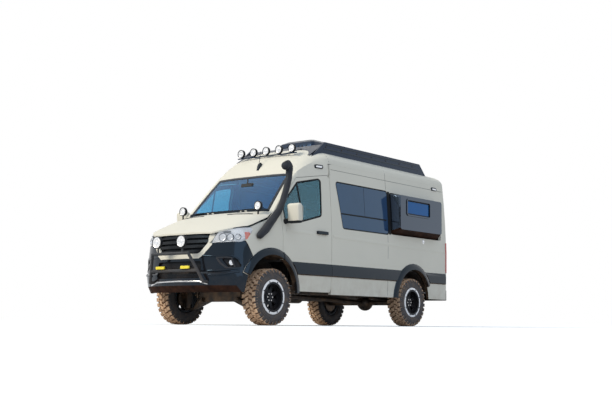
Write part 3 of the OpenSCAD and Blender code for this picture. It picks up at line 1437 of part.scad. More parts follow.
module tyre_front_left() { wheel_at(axle_f, 1) tyre(); }
module tyre_front_right() { wheel_at(axle_f, -1) tyre(); }
module tyre_rear_left() { wheel_at(axle_r, 1) tyre(); }
module tyre_rear_right() { wheel_at(axle_r, -1) tyre(); }
module rim_front_left() { wheel_at(axle_f, 1) rim(); }
module rim_front_right() { wheel_at(axle_f, -1) rim(); }
module rim_rear_left() { wheel_at(axle_r, 1) rim(); }
module rim_rear_right() { wheel_at(axle_r, -1) rim(); }

underbody();
engine();
driveline();
front_axle();
rear_axle();
front_bumper();
grille();
grille_surround();
bull_bar();
lamp_housings();
lamp_lenses();
headlamps();
tail_lamps();
fenders();
cab_frame();
windshield();
roof();
side_left();
side_right();
sliding_door();
side_pods();
side_glass();
side_cladding();
rear_bumper();
snorkel();
roof_rack();
roof_unit();
dashboard();
front_seats();
door_left();
door_left_glass();
door_left_trim();
mirror_left();
door_right();
door_right_glass();
door_right_trim();
mirror_right();
rear_door_left();
rear_door_left_glass();
rear_door_right();
rear_door_right_glass();
hood();
hood_lamps();
hood_lamp_lenses();
knuckle_left();
knuckle_right();
tyre_front_left();
tyre_front_right();
tyre_rear_left();
tyre_rear_right();
rim_front_left();
rim_front_right();
rim_rear_left();
rim_rear_right();
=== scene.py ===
"""Looks of the camper van: materials, detailed pieces, studio and camera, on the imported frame."""
import json
import math

import bmesh
import bpy
from mathutils import Euler, Matrix, Vector
from mathutils.bvhtree import BVHTree

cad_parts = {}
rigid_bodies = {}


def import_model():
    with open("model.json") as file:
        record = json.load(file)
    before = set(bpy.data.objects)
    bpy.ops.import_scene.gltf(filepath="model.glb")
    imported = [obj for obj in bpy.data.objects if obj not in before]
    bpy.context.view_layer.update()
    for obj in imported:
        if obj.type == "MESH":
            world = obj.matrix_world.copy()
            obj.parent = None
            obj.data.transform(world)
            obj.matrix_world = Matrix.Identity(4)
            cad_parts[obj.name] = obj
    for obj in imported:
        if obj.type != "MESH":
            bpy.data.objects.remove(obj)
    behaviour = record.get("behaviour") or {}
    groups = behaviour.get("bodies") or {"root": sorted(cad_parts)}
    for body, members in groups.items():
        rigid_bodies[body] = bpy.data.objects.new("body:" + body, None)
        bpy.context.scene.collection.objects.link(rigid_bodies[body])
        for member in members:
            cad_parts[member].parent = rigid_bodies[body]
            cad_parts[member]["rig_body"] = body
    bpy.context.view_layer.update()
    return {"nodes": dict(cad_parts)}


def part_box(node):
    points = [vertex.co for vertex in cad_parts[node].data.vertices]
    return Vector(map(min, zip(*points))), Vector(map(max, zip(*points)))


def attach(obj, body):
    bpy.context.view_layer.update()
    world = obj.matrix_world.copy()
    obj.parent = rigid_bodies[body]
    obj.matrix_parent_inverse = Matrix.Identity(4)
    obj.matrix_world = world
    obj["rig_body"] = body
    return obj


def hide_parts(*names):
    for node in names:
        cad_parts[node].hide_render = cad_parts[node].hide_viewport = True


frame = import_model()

NODES = frame["nodes"]
LEFT = 1
RIGHT = -1
BOTH = (LEFT, RIGHT)
SIDES = ((LEFT, "left"), (RIGHT, "right"))
WHEELS = ("front_left", "front_right", "rear_left", "rear_right")
WHEEL_Y = 0.8525
AXLE_X = {"front": 1.8875, "rear": -1.7775}
AXLE_Z = 0.402
X_AXIS = Vector((1, 0, 0))
Y_AXIS = Vector((0, 1, 0))
Z_AXIS = Vector((0, 0, 1))


# Materials


def feed(tree, socket, value):
    """Gives a socket a number, a colour or the output of a node."""
    if isinstance(value, bpy.types.NodeSocket):
        tree.links.new(value, socket)
    elif isinstance(value, tuple):
        socket.default_value = (*value, 1.0)
    else:
        socket.default_value = value


def add_node(tree, kind, inputs, **settings):
    """The outputs of a new node."""
    made = tree.nodes.new("ShaderNode" + kind)
    for key, value in settings.items():
        setattr(made, key, value)
    for key, value in inputs.items():
        feed(tree, made.inputs[key], value)
    return made.outputs


DUST = (0.27, 0.17, 0.1)
DUST_TOP = 0.95
DUST_LOW = 0.4
MIX_A = 6
MIX_B = 7
MIX_RESULT = 2


class Shader:
    """A Principled material and its textures, in metres of the object."""

    def __init__(self, name, color, roughness, metallic=0.0):
        self.material = bpy.data.materials.new(name)
        self.material.use_nodes = True
        self.tree = self.material.node_tree
        self.color = color
        self.roughness = roughness
        self.place = self.node("TexCoord", {})["Object"]
        self.give({"Base Color": color, "Roughness": roughness, "Metallic": metallic})

    def node(self, kind, inputs, **settings):
        return add_node(self.tree, kind, inputs, **settings)

    def give(self, inputs):
        for key, value in inputs.items():
            feed(self.tree, self.tree.nodes["Principled BSDF"].inputs[key], value)
        return self

    def noise(self, scale, detail=4.0, roughness=0.55):
        inputs = {"Vector": self.place, "Scale": scale, "Detail": detail, "Roughness": roughness}
        return self.node("TexNoise", inputs)["Fac"]

    def waves(self, scale, axis):
        inputs = {"Vector": self.place, "Scale": scale, "Distortion": 0.0}
        return self.node("TexWave", inputs, bands_direction=axis)["Fac"]

    def ramp(self, value, low, high, to_low=0.0, to_high=1.0):
        inputs = {"Value": value, "From Min": low, "From Max": high, "To Min": to_low, "To Max": to_high}
        return self.node("MapRange", inputs)["Result"]

    def patches(self, scale, span=(0.3, 0.7), to=(0.0, 1.0), **texture):
        """Noise with its span spread out between two values."""
        return self.ramp(self.noise(scale, **texture), *span, *to)

    def mix(self, factor, a, b):
        """A colour between a and b, each a colour or an output."""
        return self.node("Mix", {"Factor": factor, MIX_A: a, MIX_B: b}, data_type="RGBA")[MIX_RESULT]

    def base(self, factor, a, b, dust=0.0):
        """Base colour from a to b, under road dust that fades out above the wheels."""
        color = self.mix(factor, a, b)
        if dust > 0:
            height = self.node("SeparateXYZ", {"Vector": self.place})["Z"]
            low_down = self.ramp(height, DUST_TOP, DUST_LOW, 0.0, dust)
            film = {0: self.patches(7.0, (0.35, 0.75), detail=6.0), 1: low_down}
            color = self.mix(self.node("Math", film, operation="MULTIPLY")["Value"], color, DUST)
        return self.give({"Base Color": color})

    def tone(self, scale, share, dust=0.0, span=(0.3, 0.7), **texture):
        """Base colour that strays in patches to a share of itself."""
        return self.base(self.patches(scale, span, **texture), self.color, times(self.color, share), dust)

    def uneven(self, scale, less, more):
        to = (self.roughness - less, self.roughness + more)
        return self.give({"Roughness": self.patches(scale, to=to)})

    def bump(self, value, depth, strength):
        made = self.node("Bump", {"Height": value, "Distance": depth, "Strength": strength})
        return self.give({"Normal": made["Normal"]})

    def grain(self, scale, detail, depth, strength):
        return self.bump(self.noise(scale, detail), depth, strength)

    def shine(self, ior, painted_reflection_tint):
        """Strength of the reflections, and their colour: a tint that paints in the blue of a reflected sky."""
        return self.give({"IOR": ior, "Specular Tint": painted_reflection_tint})


def times(color, share):
    return tuple(share * c for c in color)


PAINT_COLOR = (0.7, 0.676, 0.588)
BLACK = (0.01, 0.011, 0.014)
# Blue tint given to reflections: a painted sky reflection.
PAINTED_SKY_BLUE = (0.42, 0.7, 1.0)
MATTE_IOR = 1.15
PLASTIC_IOR = 1.22


def paint(name, color):
    made = Shader(name, color, 0.45)
    made.base(made.patches(2.2), times(color, 0.985), times(color, 1.015), 0.3)
    made.uneven(30.0, 0.03, 0.07).grain(420.0, 2.0, 0.0001, 0.2)
    return made.give({"Specular IOR Level": 0.05}).material


def gloss_black(name, dust, roughness, ior, painted_reflection_tint):
    made = Shader(name, BLACK, roughness).tone(7.0, 1.0, dust)
    return made.uneven(18.0, 0.05, 0.06).grain(300.0, 2.0, 0.0001, 0.15).shine(ior, painted_reflection_tint).material


def muddy(name, color, mud):
    """A near-black surface with patches of dried mud."""
    made = Shader(name, color, 0.75)
    made.base(made.patches(9.0, detail=7.0, roughness=0.6), color, mud)
    return made.grain(90.0, 5.0, 0.001, 0.4).shine(MATTE_IOR, PAINTED_SKY_BLUE).material


def grained_plastic(name, color, roughness, grain=0.00035, dust=0.3):
    made = Shader(name, color, roughness).tone(6.0, 1.45, dust, (0.35, 0.7)).uneven(60.0, 0.08, 0.1)
    return made.grain(650.0, 3.0, grain, 0.5).shine(PLASTIC_IOR, PAINTED_SKY_BLUE).material


def louvred(name, color):
    """Black plastic with fine horizontal ribs, lighter on the ribs and darker between them as painted light and
    shade.
    """
    made = Shader(name, color, 0.4)
    ribs = made.waves(12.0, "Z")
    # Painted highlight on the rib crests and painted shade between them.
    made.base(ribs, times(color, 0.5), times(color, 1.6), 0.25)
    return made.bump(ribs, 0.006, 0.6).shine(PLASTIC_IOR, PAINTED_SKY_BLUE).material


def metal(name, color, roughness, dust):
    made = Shader(name, color, roughness, 1.0).tone(14.0, 0.75, dust, (0.35, 0.7), detail=6.0)
    return made.uneven(90.0, 0.08, 0.12).grain(500.0, 2.0, 0.0001, 0.3).material


# Glass whose blue colour and blue reflection tint are partly its own tint and partly a painted sky reflection.
def tinted_glass(name, color, transmission, ior, painted_reflection_tint):
    made = Shader(name, color, 0.0).tone(1.5, 0.85, span=(0.35, 0.65)).uneven(25.0, 0.0, 0.03)
    return made.give({"Transmission Weight": transmission}).shine(ior, painted_reflection_tint).material


def lens_glass(name, color, alpha=1.0):
    """Lamp plastic with faint flutes, see-through where alpha is low."""
    made = Shader(name, color, 0.08).tone(20.0, 0.93)
    made.bump(made.waves(120.0, "Y"), 0.0004, 0.12)
    return made.give({"Alpha": alpha, "Coat Weight": 0.5}).material


def tread_rubber(name, deep, dirt, dry):
    """Rubber with the brown dirt of the track; a darker copy for the grooves is painted shade."""
    made = Shader(name, dirt, 0.85)
    crust = made.mix(made.patches(60.0), dirt, dry)
    made.base(made.patches(14.0, (0.3, 0.6), detail=8.0, roughness=0.65), deep, crust)
    return made.grain(110.0, 6.0, 0.002, 0.5).material


def side_rubber(name, color, clean, dirt):
    made = Shader(name, color, 0.7)
    made.base(made.patches(12.0, (0.45, 0.85), detail=7.0), clean, dirt)
    return made.grain(220.0, 3.0, 0.0005, 0.4).material


def fabric(name, color):
    made = Shader(name, color, 0.9).tone(9.0, 1.35).grain(900.0, 2.0, 0.0006, 0.5)
    return made.give({"Sheen Weight": 0.3}).material


def reflector(name, color, metallic):
    return Shader(name, color, 0.2, metallic).tone(40.0, 0.9).uneven(60.0, 0.08, 0.05).material


PAINT = paint("paint", PAINT_COLOR)
# The blue reflection tints of these gloss blacks are painted sky reflections.
GLOSS = gloss_black("gloss_black", 0.12, 0.08, 1.38, PAINTED_SKY_BLUE)
PIANO = gloss_black("piano_black", 0.02, 0.08, 1.95, (0.5, 0.7, 1.0))
SATIN = gloss_black("satin_black", 0.05, 0.3, 1.5, (0.18, 0.46, 1.0))
# For faces that look down: dried mud, and its near-black brown is also painted shade and a painted reflection
# of brown ground.
MUD_AND_SHADE = muddy("mud", (0.014, 0.008, 0.006), (0.055, 0.024, 0.014))
ARCH = muddy("arch_liner", (0.015, 0.012, 0.01), (0.13, 0.085, 0.055))
PLASTIC = grained_plastic("plastic_black", (0.018, 0.018, 0.019), 0.45)
MATTE = grained_plastic("matte_black", (0.03, 0.03, 0.033), 0.42, 0.0006)
POWDER = grained_plastic("powder_coat", (0.014, 0.014, 0.015), 0.3)
TUBE = grained_plastic("tube_coat", (0.05, 0.05, 0.052), 0.3)
RIBBED = louvred("ribbed_plastic", (0.02, 0.02, 0.021))
# Grey of the ribs along the black spokes' edges: a painted highlight.
SPOKE_HIGHLIGHT = grained_plastic("spoke_rib_highlight", (0.16, 0.16, 0.17), 0.3, 0.0002, 0.04)
SEAL = grained_plastic("seal_rubber", (0.012, 0.012, 0.012), 0.55, 0.0002, 0.1)
JOINT = grained_plastic("joint_line", (0.16, 0.155, 0.14), 0.7, 0.0002, 0.2)
TRIM = grained_plastic("cab_trim", (0.05, 0.048, 0.046), 0.6)
LINER = fabric("headliner", (0.3, 0.28, 0.25))
SEAT = fabric("seat_cloth", (0.03, 0.031, 0.034))
PIPING = fabric("seat_piping", (0.09, 0.085, 0.075))
STEEL = metal("chassis_steel", (0.05, 0.047, 0.045), 0.5, 0.6)
ALLOY = metal("alloy", (0.8, 0.8, 0.8), 0.28, 0.05)
BRIGHT = metal("bright_trim", (0.62, 0.62, 0.63), 0.22, 0.05)
# The blue of these panes is partly tinted glass and partly painted sky reflection; the opaque navy pod panes
# are painted sky reflection on dark glass.
GLASS = tinted_glass("tinted_glass", (0.02, 0.055, 0.14), 0.2, 1.65, (0.36, 0.72, 1.0))
SCREEN = tinted_glass("screen_glass", (0.12, 0.5, 0.74), 0.97, 1.9, (0.0, 0.3, 1.0))
POD_GLASS = tinted_glass("pod_glass", (0.0, 0.11, 0.34), 0.0, 1.35, (0.1, 0.4, 1.0))
DOOR_GLASS = tinted_glass("door_glass", (0.4, 0.7, 0.84), 0.95, 1.7, (0.36, 0.8, 1.0))
MIRROR = metal("mirror_glass", (0.85, 0.87, 0.9), 0.1, 0.0)
TREAD = tread_rubber("tread_rubber", (0.34, 0.2, 0.12), (0.68, 0.44, 0.27), (0.86, 0.62, 0.42))
# A darker copy of the tread colours for the groove bottoms: painted shade in the grooves.
SHADED_TREAD = tread_rubber("tread_groove_shade", (0.055, 0.03, 0.018), (0.15, 0.08, 0.042), (0.2, 0.11, 0.06))
SIDEWALL = side_rubber("side_rubber", (0.05, 0.048, 0.05), (0.042, 0.04, 0.044), (0.12, 0.085, 0.06))
RING = reflector("wheel_ring", (0.93, 0.93, 0.94), 0.1)
RIM = grained_plastic("rim_black", (0.016, 0.016, 0.018), 0.35, 0.0002, 0.04)
LENS = lens_glass("lamp_lens", (0.9, 0.93, 0.96), 0.2)
HEAD_GLASS = lens_glass("headlamp_cover", (0.8, 0.86, 0.92), 0.1)
HEAD_BEZEL = reflector("headlamp_bezel", (0.66, 0.67, 0.69), 0.1)
WHITE_LENS = lens_glass("white_lens", (0.85, 0.85, 0.86))
RED_LENS = lens_glass("red_lens", (0.55, 0.012, 0.016))
AMBER_LENS = lens_glass("amber_lens", (0.95, 0.78, 0.03))
ORANGE_LENS = lens_glass("orange_lens", (0.75, 0.09, 0.03))
WHITE_BOWL = reflector("white_bowl", (0.95, 0.95, 0.96), 0.25)
CHROME_BOWL = reflector("chrome_bowl", (0.86, 0.88, 0.92), 0.85)


# Meshes

WELD = 2e-5
FLAT = math.radians(0.4)
FAR = 4.0


def body_of(node):
    return NODES[node]["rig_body"]


def new_object(name, data):
    made = bpy.data.objects.new(name, data)
    bpy.context.scene.collection.objects.link(made)
    return made


def piece(name, bm, materials, angle=35, body="van"):
    """A piece that rides on a body, from a bmesh; edges sharper than the angle stay sharp."""
    bmesh.ops.recalc_face_normals(bm, faces=bm.faces)
    bm.normal_update()
    for face in bm.faces:
        face.smooth = True
    for edge in bm.edges:
        edge.smooth = len(edge.link_faces) == 2 and edge.calc_face_angle(0.0) < math.radians(angle)
    mesh = bpy.data.meshes.new(name)
    bm.to_mesh(mesh)
    bm.free()
    for material in materials:
        mesh.materials.append(material)
    made = new_object(name, mesh)
    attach(made, body)
    return made


def rounded_edges(made, width, angle, segments=2):
    edge = made.modifiers.new("edge", "BEVEL")
    edge.width = width
    edge.segments = segments
    edge.limit_method = "ANGLE"
    edge.angle_limit = math.radians(angle)
    edge.harden_normals = True
    edge.use_clamp_overlap = True


def node_bmesh(node):
    """A welded copy of a CAD node's mesh."""
    bm = bmesh.new()
    bm.from_mesh(NODES[node].data)
    bmesh.ops.remove_doubles(bm, verts=bm.verts, dist=WELD)
    for face in bm.faces:
        face.material_index = 0
    return bm


def cut_planes(bm, planes):
    """Splits the faces along planes, each a point and a normal."""
    for place, normal in planes:
        geom = bm.verts[:] + bm.edges[:] + bm.faces[:]
        bmesh.ops.bisect_plane(bm, geom=geom, plane_co=place, plane_no=normal)


def dressed(node, material, bevel=0.003, angle=32, others=(), dissolve=True, cuts=()):
    """A copy of a CAD node with smooth faces and rounded edges, in its place.

    others pairs materials with tests of a face's normal and centre, cuts are planes that split faces."""
    bm = node_bmesh(node)
    cut_planes(bm, cuts)
    if dissolve:
        bmesh.ops.dissolve_limit(bm, angle_limit=FLAT, verts=bm.verts, edges=bm.edges)
    bmesh.ops.recalc_face_normals(bm, faces=bm.faces)
    for face in bm.faces:
        for index, (other, holds) in enumerate(others):
            if holds(face.normal, face.calc_center_median()):
                face.material_index = index + 1
    made = piece(node + "_skin", bm, [material] + [other for other, holds in others], angle, body_of(node))
    if bevel > 0:
        rounded_edges(made, bevel, angle)
    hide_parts(node)


def tree_of(*nodes):
    """A search tree of the nodes' surfaces."""
    points = []
    faces = []
    for node in nodes:
        first = len(points)
        mesh = NODES[node].data
        points += [v.co.copy() for v in mesh.vertices]
        faces += [[first + i for i in polygon.vertices] for polygon in mesh.polygons]
    return BVHTree.FromPolygons(points, faces)


def from_side(x, z, side):
    """A ray at the van from one side."""
    return (x, side * FAR, z), (0, -side, 0)


def from_front(y, z):
    return (FAR, y, z), (-1, 0, 0)


def from_rear(y, z):
    return (-FAR, y, z), (1, 0, 0)


def from_above(x, y):
    return (x, y, FAR), (0, 0, -1)


def cast(tree, start, direction):
    """Where a ray meets a surface, and the normal there."""
    return tree.ray_cast(Vector(start), Vector(direction).normalized())[:2]


def laid(tree, rays, lift=0.0):
    """Points and normals where rays meet a surface; a ray that misses is left out."""
    hits = [cast(tree, *ray) for ray in rays]
    path = [point + normal * lift for point, normal in hits if point is not None]
    return path, [normal for point, normal in hits if point is not None]


def frame_at(place, axis, up=Z_AXIS):
    """A turn that takes local Z to the axis and keeps local Y near up."""
    axis = axis.normalized()
    right = up.cross(axis).normalized()
    turn = Matrix((right, axis.cross(right), axis)).transposed()
    return Matrix.Translation(place) @ turn.to_4x4()


def seat_on(tree, ray, lift=0.0):
    """A frame where a ray meets a surface, its local Z along the normal."""
    point, normal = cast(tree, *ray)
    return frame_at(point + normal * lift, normal)


def polar(radius, angle, height):
    return Vector((radius * math.cos(angle), radius * math.sin(angle), height))


def circle(count):
    """Angles evenly round a full turn."""
    return [2 * math.pi * i / count for i in range(count)]


def join_rings(bm, rings, material, closed=False):
    """Faces between neighbouring rings of points; a ring may be one point."""
    for k in range(0 if closed else 1, len(rings)):
        low, high = rings[k - 1], rings[k]
        count = max(len(low), len(high))
        for i in range(count):
            j = (i + 1) % count
            corners = [low[i % len(low)], low[j % len(low)], high[j % len(high)], high[i % len(high)]]
            bm.faces.new(dict.fromkeys(corners)).material_index = material


def lathe(bm, profile, at, segments, material=0, closed=False):
    """Turns a profile of (radius, height) about local Z of the matrix at."""
    rings = []
    for radius, height in profile:
        angles = circle(segments if radius > 0 else 1)
        rings.append([bm.verts.new(at @ polar(radius, angle, height)) for angle in angles])
    join_rings(bm, rings, material, closed)


def slab(bm, outline, at, depth, material=0, draft=0.0):
    """A plate with an outline in local X and Y, its top drawn in by a share."""
    low = [bm.verts.new(at @ Vector((x, y, 0))) for x, y in outline]
    top = 1.0 - draft
    high = [bm.verts.new(at @ Vector((x * top, y * top, depth))) for x, y in outline]
    bm.faces.new(low[::-1]).material_index = material
    bm.faces.new(high).material_index = material
    join_rings(bm, (low, high), material)


def plate(bm, size, at, depth, material=0, draft=0.0):
    """A slab with a width, a height and round corners."""
    slab(bm, rounded_rect(*size), at, depth, material, draft)


def rounded_rect(width, height, radius, steps=5):
    outline = []
    for cx, cy, first in ((1, 1, 0), (-1, 1, 90), (-1, -1, 180), (1, -1, 270)):
        for i in range(steps + 1):
            corner = polar(radius, math.radians(first + 90 * i / steps), 0)
            outline.append((cx * (width / 2 - radius) + corner.x, cy * (height / 2 - radius) + corner.y))
    return outline


def polygon(count, radius):
    return [polar(radius, angle, 0).xy for angle in circle(count)]


def sweep(bm, path, ups, section, material=0, closed=False):
    """Runs a section of (across, up) along a path with an up direction at each point."""
    count = len(path)
    rings = []
    for i, point in enumerate(path):
        before = path[i - 1] if closed or i > 0 else path[i]
        after = path[(i + 1) % count] if closed or i < count - 1 else path[i]
        along = (after - before).normalized()
        across = along.cross(ups[i]).normalized()
        up = across.cross(along)
        rings.append([bm.verts.new(point + across * a + up * b) for a, b in section])
    join_rings(bm, rings, material, closed)
    if not closed:
        bm.faces.new(rings[0]).material_index = material
        bm.faces.new(rings[-1][::-1]).material_index = material


STEEP = 0.95


def tube(bm, path, radius, sides=12, material=0):
    path = [Vector(p) for p in path]
    ups = []
    for before, after in zip(path[:1] + path, path[1:] + path[-1:]):
        along = (after - before).normalized()
        ups.append(Z_AXIS if abs(along.z) < STEEP else X_AXIS)
    sweep(bm, path, ups, polygon(sides, radius), material)


SINK = 0.002


def bead(width, lift):
    """Section of a flat strip with rounded shoulders."""
    half = width / 2
    top = half * 0.6
    return [(-half, -SINK), (half, -SINK), (half, lift / 2), (top, lift), (-top, lift), (-half, lift / 2)]


def strip(bm, tree, rays, section, material=0, up=None):
    """Runs a section along the line where rays meet a surface, upright on it or along up."""
    path, ups = laid(tree, rays)
    if len(path) > 1:
        sweep(bm, path, [up or normal for normal in ups], section, material)


def studs(bm, tree, rays, profile, segments, material=0):
    """A turned profile wherever a ray meets a surface."""
    for point, normal in zip(*laid(tree, rays)):
        lathe(bm, profile, frame_at(point, normal), segments, material)


def bent(points, spacing):
    """A polyline with points no further apart than spacing."""
    out = []
    for a, b in zip(points, points[1:]):
        a, b = Vector(a), Vector(b)
        count = max(1, math.ceil((b - a).length / spacing))
        out += [a.lerp(b, i / count) for i in range(count)]
    out.append(Vector(points[-1]))
    return out


SIDE_STEP = 0.05


def side_line(bm, tree, stations, side, width, lift):
    """A strip on the body side along (x, z) stations."""
    strip(bm, tree, [from_side(*place, side) for place in bent(stations, SIDE_STEP)], bead(width, lift))


def lined(name, lines, material, angle=40, body="van"):
    """A piece of side lines, each with its tree, stations, sides, width and lift."""
    bm = bmesh.new()
    for tree, stations, sides, width, lift in lines:
        for side in sides:
            side_line(bm, tree, stations, side, width, lift)
    piece(name, bm, [material], angle, body)


def front_line(stations, side, spacing=0.03):
    """Rays at the front along (y, z) stations."""
    return [from_front(side * y, z) for y, z in bent(stations, spacing)]


FACING = 0.5


def outer_loops(node, direction):
    """Edges of a node's faces that look along direction, as closed runs of points with normals."""
    bm = node_bmesh(node)
    bmesh.ops.recalc_face_normals(bm, faces=bm.faces)
    direction = Vector(direction).normalized()
    away = [face for face in bm.faces if face.normal.dot(direction) <= FACING]
    bmesh.ops.delete(bm, geom=away, context="FACES")
    left = dict.fromkeys(edge for edge in bm.edges if edge.is_boundary)
    loops = []
    while left:
        edge = next(iter(left))
        here = edge.verts[0]
        run = []
        while edge:
            del left[edge]
            run.append((here.co.copy(), edge.link_faces[0].normal.copy()))
            here = edge.other_vert(here)
            edge = next((e for e in here.link_edges if e in left), None)
        loops.append(run)
    bm.free()
    return loops


SEAL_STEP = 0.03
LEAST_STEPS = 12
TINY = 1e-9


def spaced(run):
    """A closed run again, with even spacing and smoothed normals."""
    sides = list(zip(run, run[1:] + run[:1]))
    lengths = [(end[0] - start[0]).length for start, end in sides]
    total = sum(lengths)
    count = max(LEAST_STEPS, int(total / SEAL_STEP))
    points = []
    normals = []
    i = 0
    passed = 0.0
    for k in range(count):
        want = total * k / count
        while passed + lengths[i] < want:
            passed += lengths[i]
            i += 1
        share = (want - passed) / max(lengths[i], TINY)
        start, end = sides[i]
        points.append(start[0].lerp(end[0], share))
        normals.append(start[1].lerp(end[1], share).normalized())
    return points, normals


def seal(name, node, direction, body, width, lift, shift, material=SEAL):
    """Rubber round each pane of a node that looks along direction, moved in by shift."""
    bm = bmesh.new()
    for run in outer_loops(node, direction):
        points, normals = spaced(run)
        middle = sum(points, Vector()) / len(points)
        placed = []
        for i, point in enumerate(points):
            along = (points[(i + 1) % len(points)] - points[i - 1]).normalized()
            inward = along.cross(normals[i])
            inward *= 1 if inward.dot(middle - point) > 0 else -1
            placed.append(point + inward * shift)
        sweep(bm, placed, normals, bead(width, lift), 0, True)
    piece(name, bm, [material], 40, body)


# Body skin, glass and trim

ARCH_REACH = 0.66
HINGE_X = 1.86
HINGE_Z = 1.59
POD_FRONT_X = -1.2


def looks_in(normal, centre):
    return normal.y * math.copysign(1, centre.y) < -0.6


def looks_down(normal, centre):
    return normal.z < -0.35


def looks_forward(normal, centre):
    return normal.x > 0.6


def in_arch(normal, centre):
    """True on faces round a wheel that look at its axle."""
    for x in AXLE_X.values():
        arm = Vector((centre.x - x, 0, centre.z - AXLE_Z))
        if arm.length < ARCH_REACH and abs(normal.y) < 0.7 and normal.dot(arm) < 0:
            return True
    return False


def on_hinge(normal, centre):
    return centre.x < HINGE_X and centre.z > HINGE_Z


def in_pod(normal, centre):
    return centre.x < POD_FRONT_X


def at_height(low, high):
    """A test that holds on faces between two heights."""
    return lambda normal, centre: low < centre.z < high


EDGE = 0.003
WALL = ((TRIM, looks_in), (ARCH, in_arch))
WHEEL_HOUSE = ((ARCH, looks_in), (ARCH, looks_down), (ARCH, in_arch))
# Faces that look down take the mud material, which is partly painted shade.
UNDERSIDE = ((MUD_AND_SHADE, looks_down),)
SKINS = (
    ("cab_frame grille_surround", PAINT, EDGE, ()),
    ("hood", PAINT, EDGE, ((MATTE, looks_down), (PLASTIC, on_hinge))),
    ("fenders", PAINT, EDGE, WHEEL_HOUSE),
    ("side_left side_right sliding_door door_left door_right", PAINT, EDGE, WALL),
    ("roof", PAINT, EDGE, ((LINER, looks_down),)),
    ("rear_door_left rear_door_right", PAINT, EDGE, ((TRIM, looks_forward),)),
    ("front_bumper rear_bumper", GLOSS, 0.006, UNDERSIDE),
    ("side_pods", PIANO, 0.006, UNDERSIDE),
    ("side_cladding", GLOSS, 0.004, WHEEL_HOUSE),
    ("door_left_trim door_right_trim", GLOSS, 0.004, ((ARCH, looks_down),)),
    ("roof_rack", SATIN, 0.004, ()),
    ("roof_unit", SATIN, 0.006, ()),
    ("snorkel", MATTE, 0.004, ()),
)


def dress_body():
    for nodes, material, bevel, others in SKINS:
        for node in nodes.split():
            dressed(node, material, bevel, others=others)
    dressed("bull_bar", TUBE, 0.0, 40)
    dressed("grille", POWDER, 0.002)


SIDE_TREE = tree_of("side_left", "side_right", "sliding_door", "roof", "door_left", "door_right")
SEAM = (0.007, 0.0012)
SEAMS = (
    (SIDE_TREE, ((0.5, 2.395), (-2.86, 2.395)), BOTH, *SEAM),
    (SIDE_TREE, ((-1.0, 2.24), (-1.0, 2.7)), BOTH, *SEAM),
    (SIDE_TREE, ((0.53, 2.3), (0.53, 2.7)), BOTH, *SEAM),
    (SIDE_TREE, ((-1.0, 1.48), (-1.0, 1.1)), (LEFT,), *SEAM),
    (SIDE_TREE, ((-1.0, 0.78), (-1.0, 0.5)), (LEFT,), *SEAM),
)
CREASE = (0.05, 0.004)
BODY_CREASE = ((0.5, 1.36), (-1.0, 1.335), (-2.78, 1.31))
DOOR_CREASE = ((1.6, 1.375), (0.98, 1.37))


def add_seams():
    """Joint lines of the body sides and the roof, and the crease pressed along each side."""
    lined("body_seams", SEAMS, JOINT, 50)
    lined("body_creases", [(SIDE_TREE, BODY_CREASE, BOTH, *CREASE)], PAINT, 60)
    for side, name in SIDES:
        crease = (SIDE_TREE, DOOR_CREASE, (side,), *CREASE)
        lined("door_%s_crease" % name, [crease], PAINT, 60, "door_" + name)


SIDE_LAMP_X = (0.74, -2.55)
SIDE_LAMP_Z = 2.415
SIDE_LAMP = (0.17, 0.06)
INLET = (-2.096, 1.449)
INLET_PROFILE = ((0.034, 0.0), (0.034, 0.006), (0.026, 0.009), (0.02, 0.005), (0.0, 0.004))
RAIL = ((-1.06, 1.4), (-2.62, 1.4))
RAIL_STRIPS = ((SIDE_TREE, RAIL, (RIGHT,), 0.05, 0.008), (SIDE_TREE, RAIL, (RIGHT,), 0.018, 0.012))


def add_side_lamps():
    """Flush lamps high on the sides, with the charging inlet and the sliding door's rail."""
    bm = bmesh.new()
    width, height = SIDE_LAMP
    for side in BOTH:
        for x in SIDE_LAMP_X:
            at = seat_on(SIDE_TREE, from_side(x, SIDE_LAMP_Z, side), -0.004)
            plate(bm, (width, height, height * 0.35), at, 0.02, 0, 0.06)
            lens_at = at @ Matrix.Translation((0, -height * 0.08, 0.016))
            plate(bm, (width * 0.72, height * 0.5, height * 0.2), lens_at, 0.01, 1, 0.1)
    lathe(bm, INLET_PROFILE, seat_on(SIDE_TREE, from_side(*INLET, LEFT)), 32, 1)
    piece("side_lamps", bm, [GLOSS, WHITE_BOWL])
    lined("slide_rail", RAIL_STRIPS, SEAL)


SCREEN_LOOK = Vector((0.75, 0, 0.66))


def dress_glass():
    dressed("windshield", SCREEN, 0.0)
    # The pod's panes take the opaque navy glass, a painted sky reflection.
    dressed("side_glass", GLASS, 0.0, others=((POD_GLASS, in_pod),))
    for start, material in (("rear_door_", GLASS), ("door_", DOOR_GLASS)):
        for side, name in SIDES:
            dressed(start + name + "_glass", material, 0.0)
    seal("screen_seal", "windshield", SCREEN_LOOK, "van", 0.06, 0.004, 0.022, GLOSS)
    for side, name in SIDES:
        door = "door_" + name
        seal(door + "_window_seal", door + "_glass", (0, side, 0), door, 0.034, 0.006, 0.008)
        rear = "rear_door_" + name
        seal(rear + "_window_seal", rear + "_glass", (-1, 0, 0), rear, 0.03, 0.005, 0.006)
        seal("side_window_seal_" + name, "side_glass", (0, side, 0), "van", 0.026, 0.005, 0.006)


QUARTER_POST = ((1.19, 1.5), (1.21, 2.16))
SLIDER_BAR = ((0.3, 1.73), (-0.98, 1.73))
SLIDER_SPLIT = ((-0.36, 1.73), (-0.36, 2.2))
POD_POST = ((-1.066, 1.5), (-1.066, 2.215))


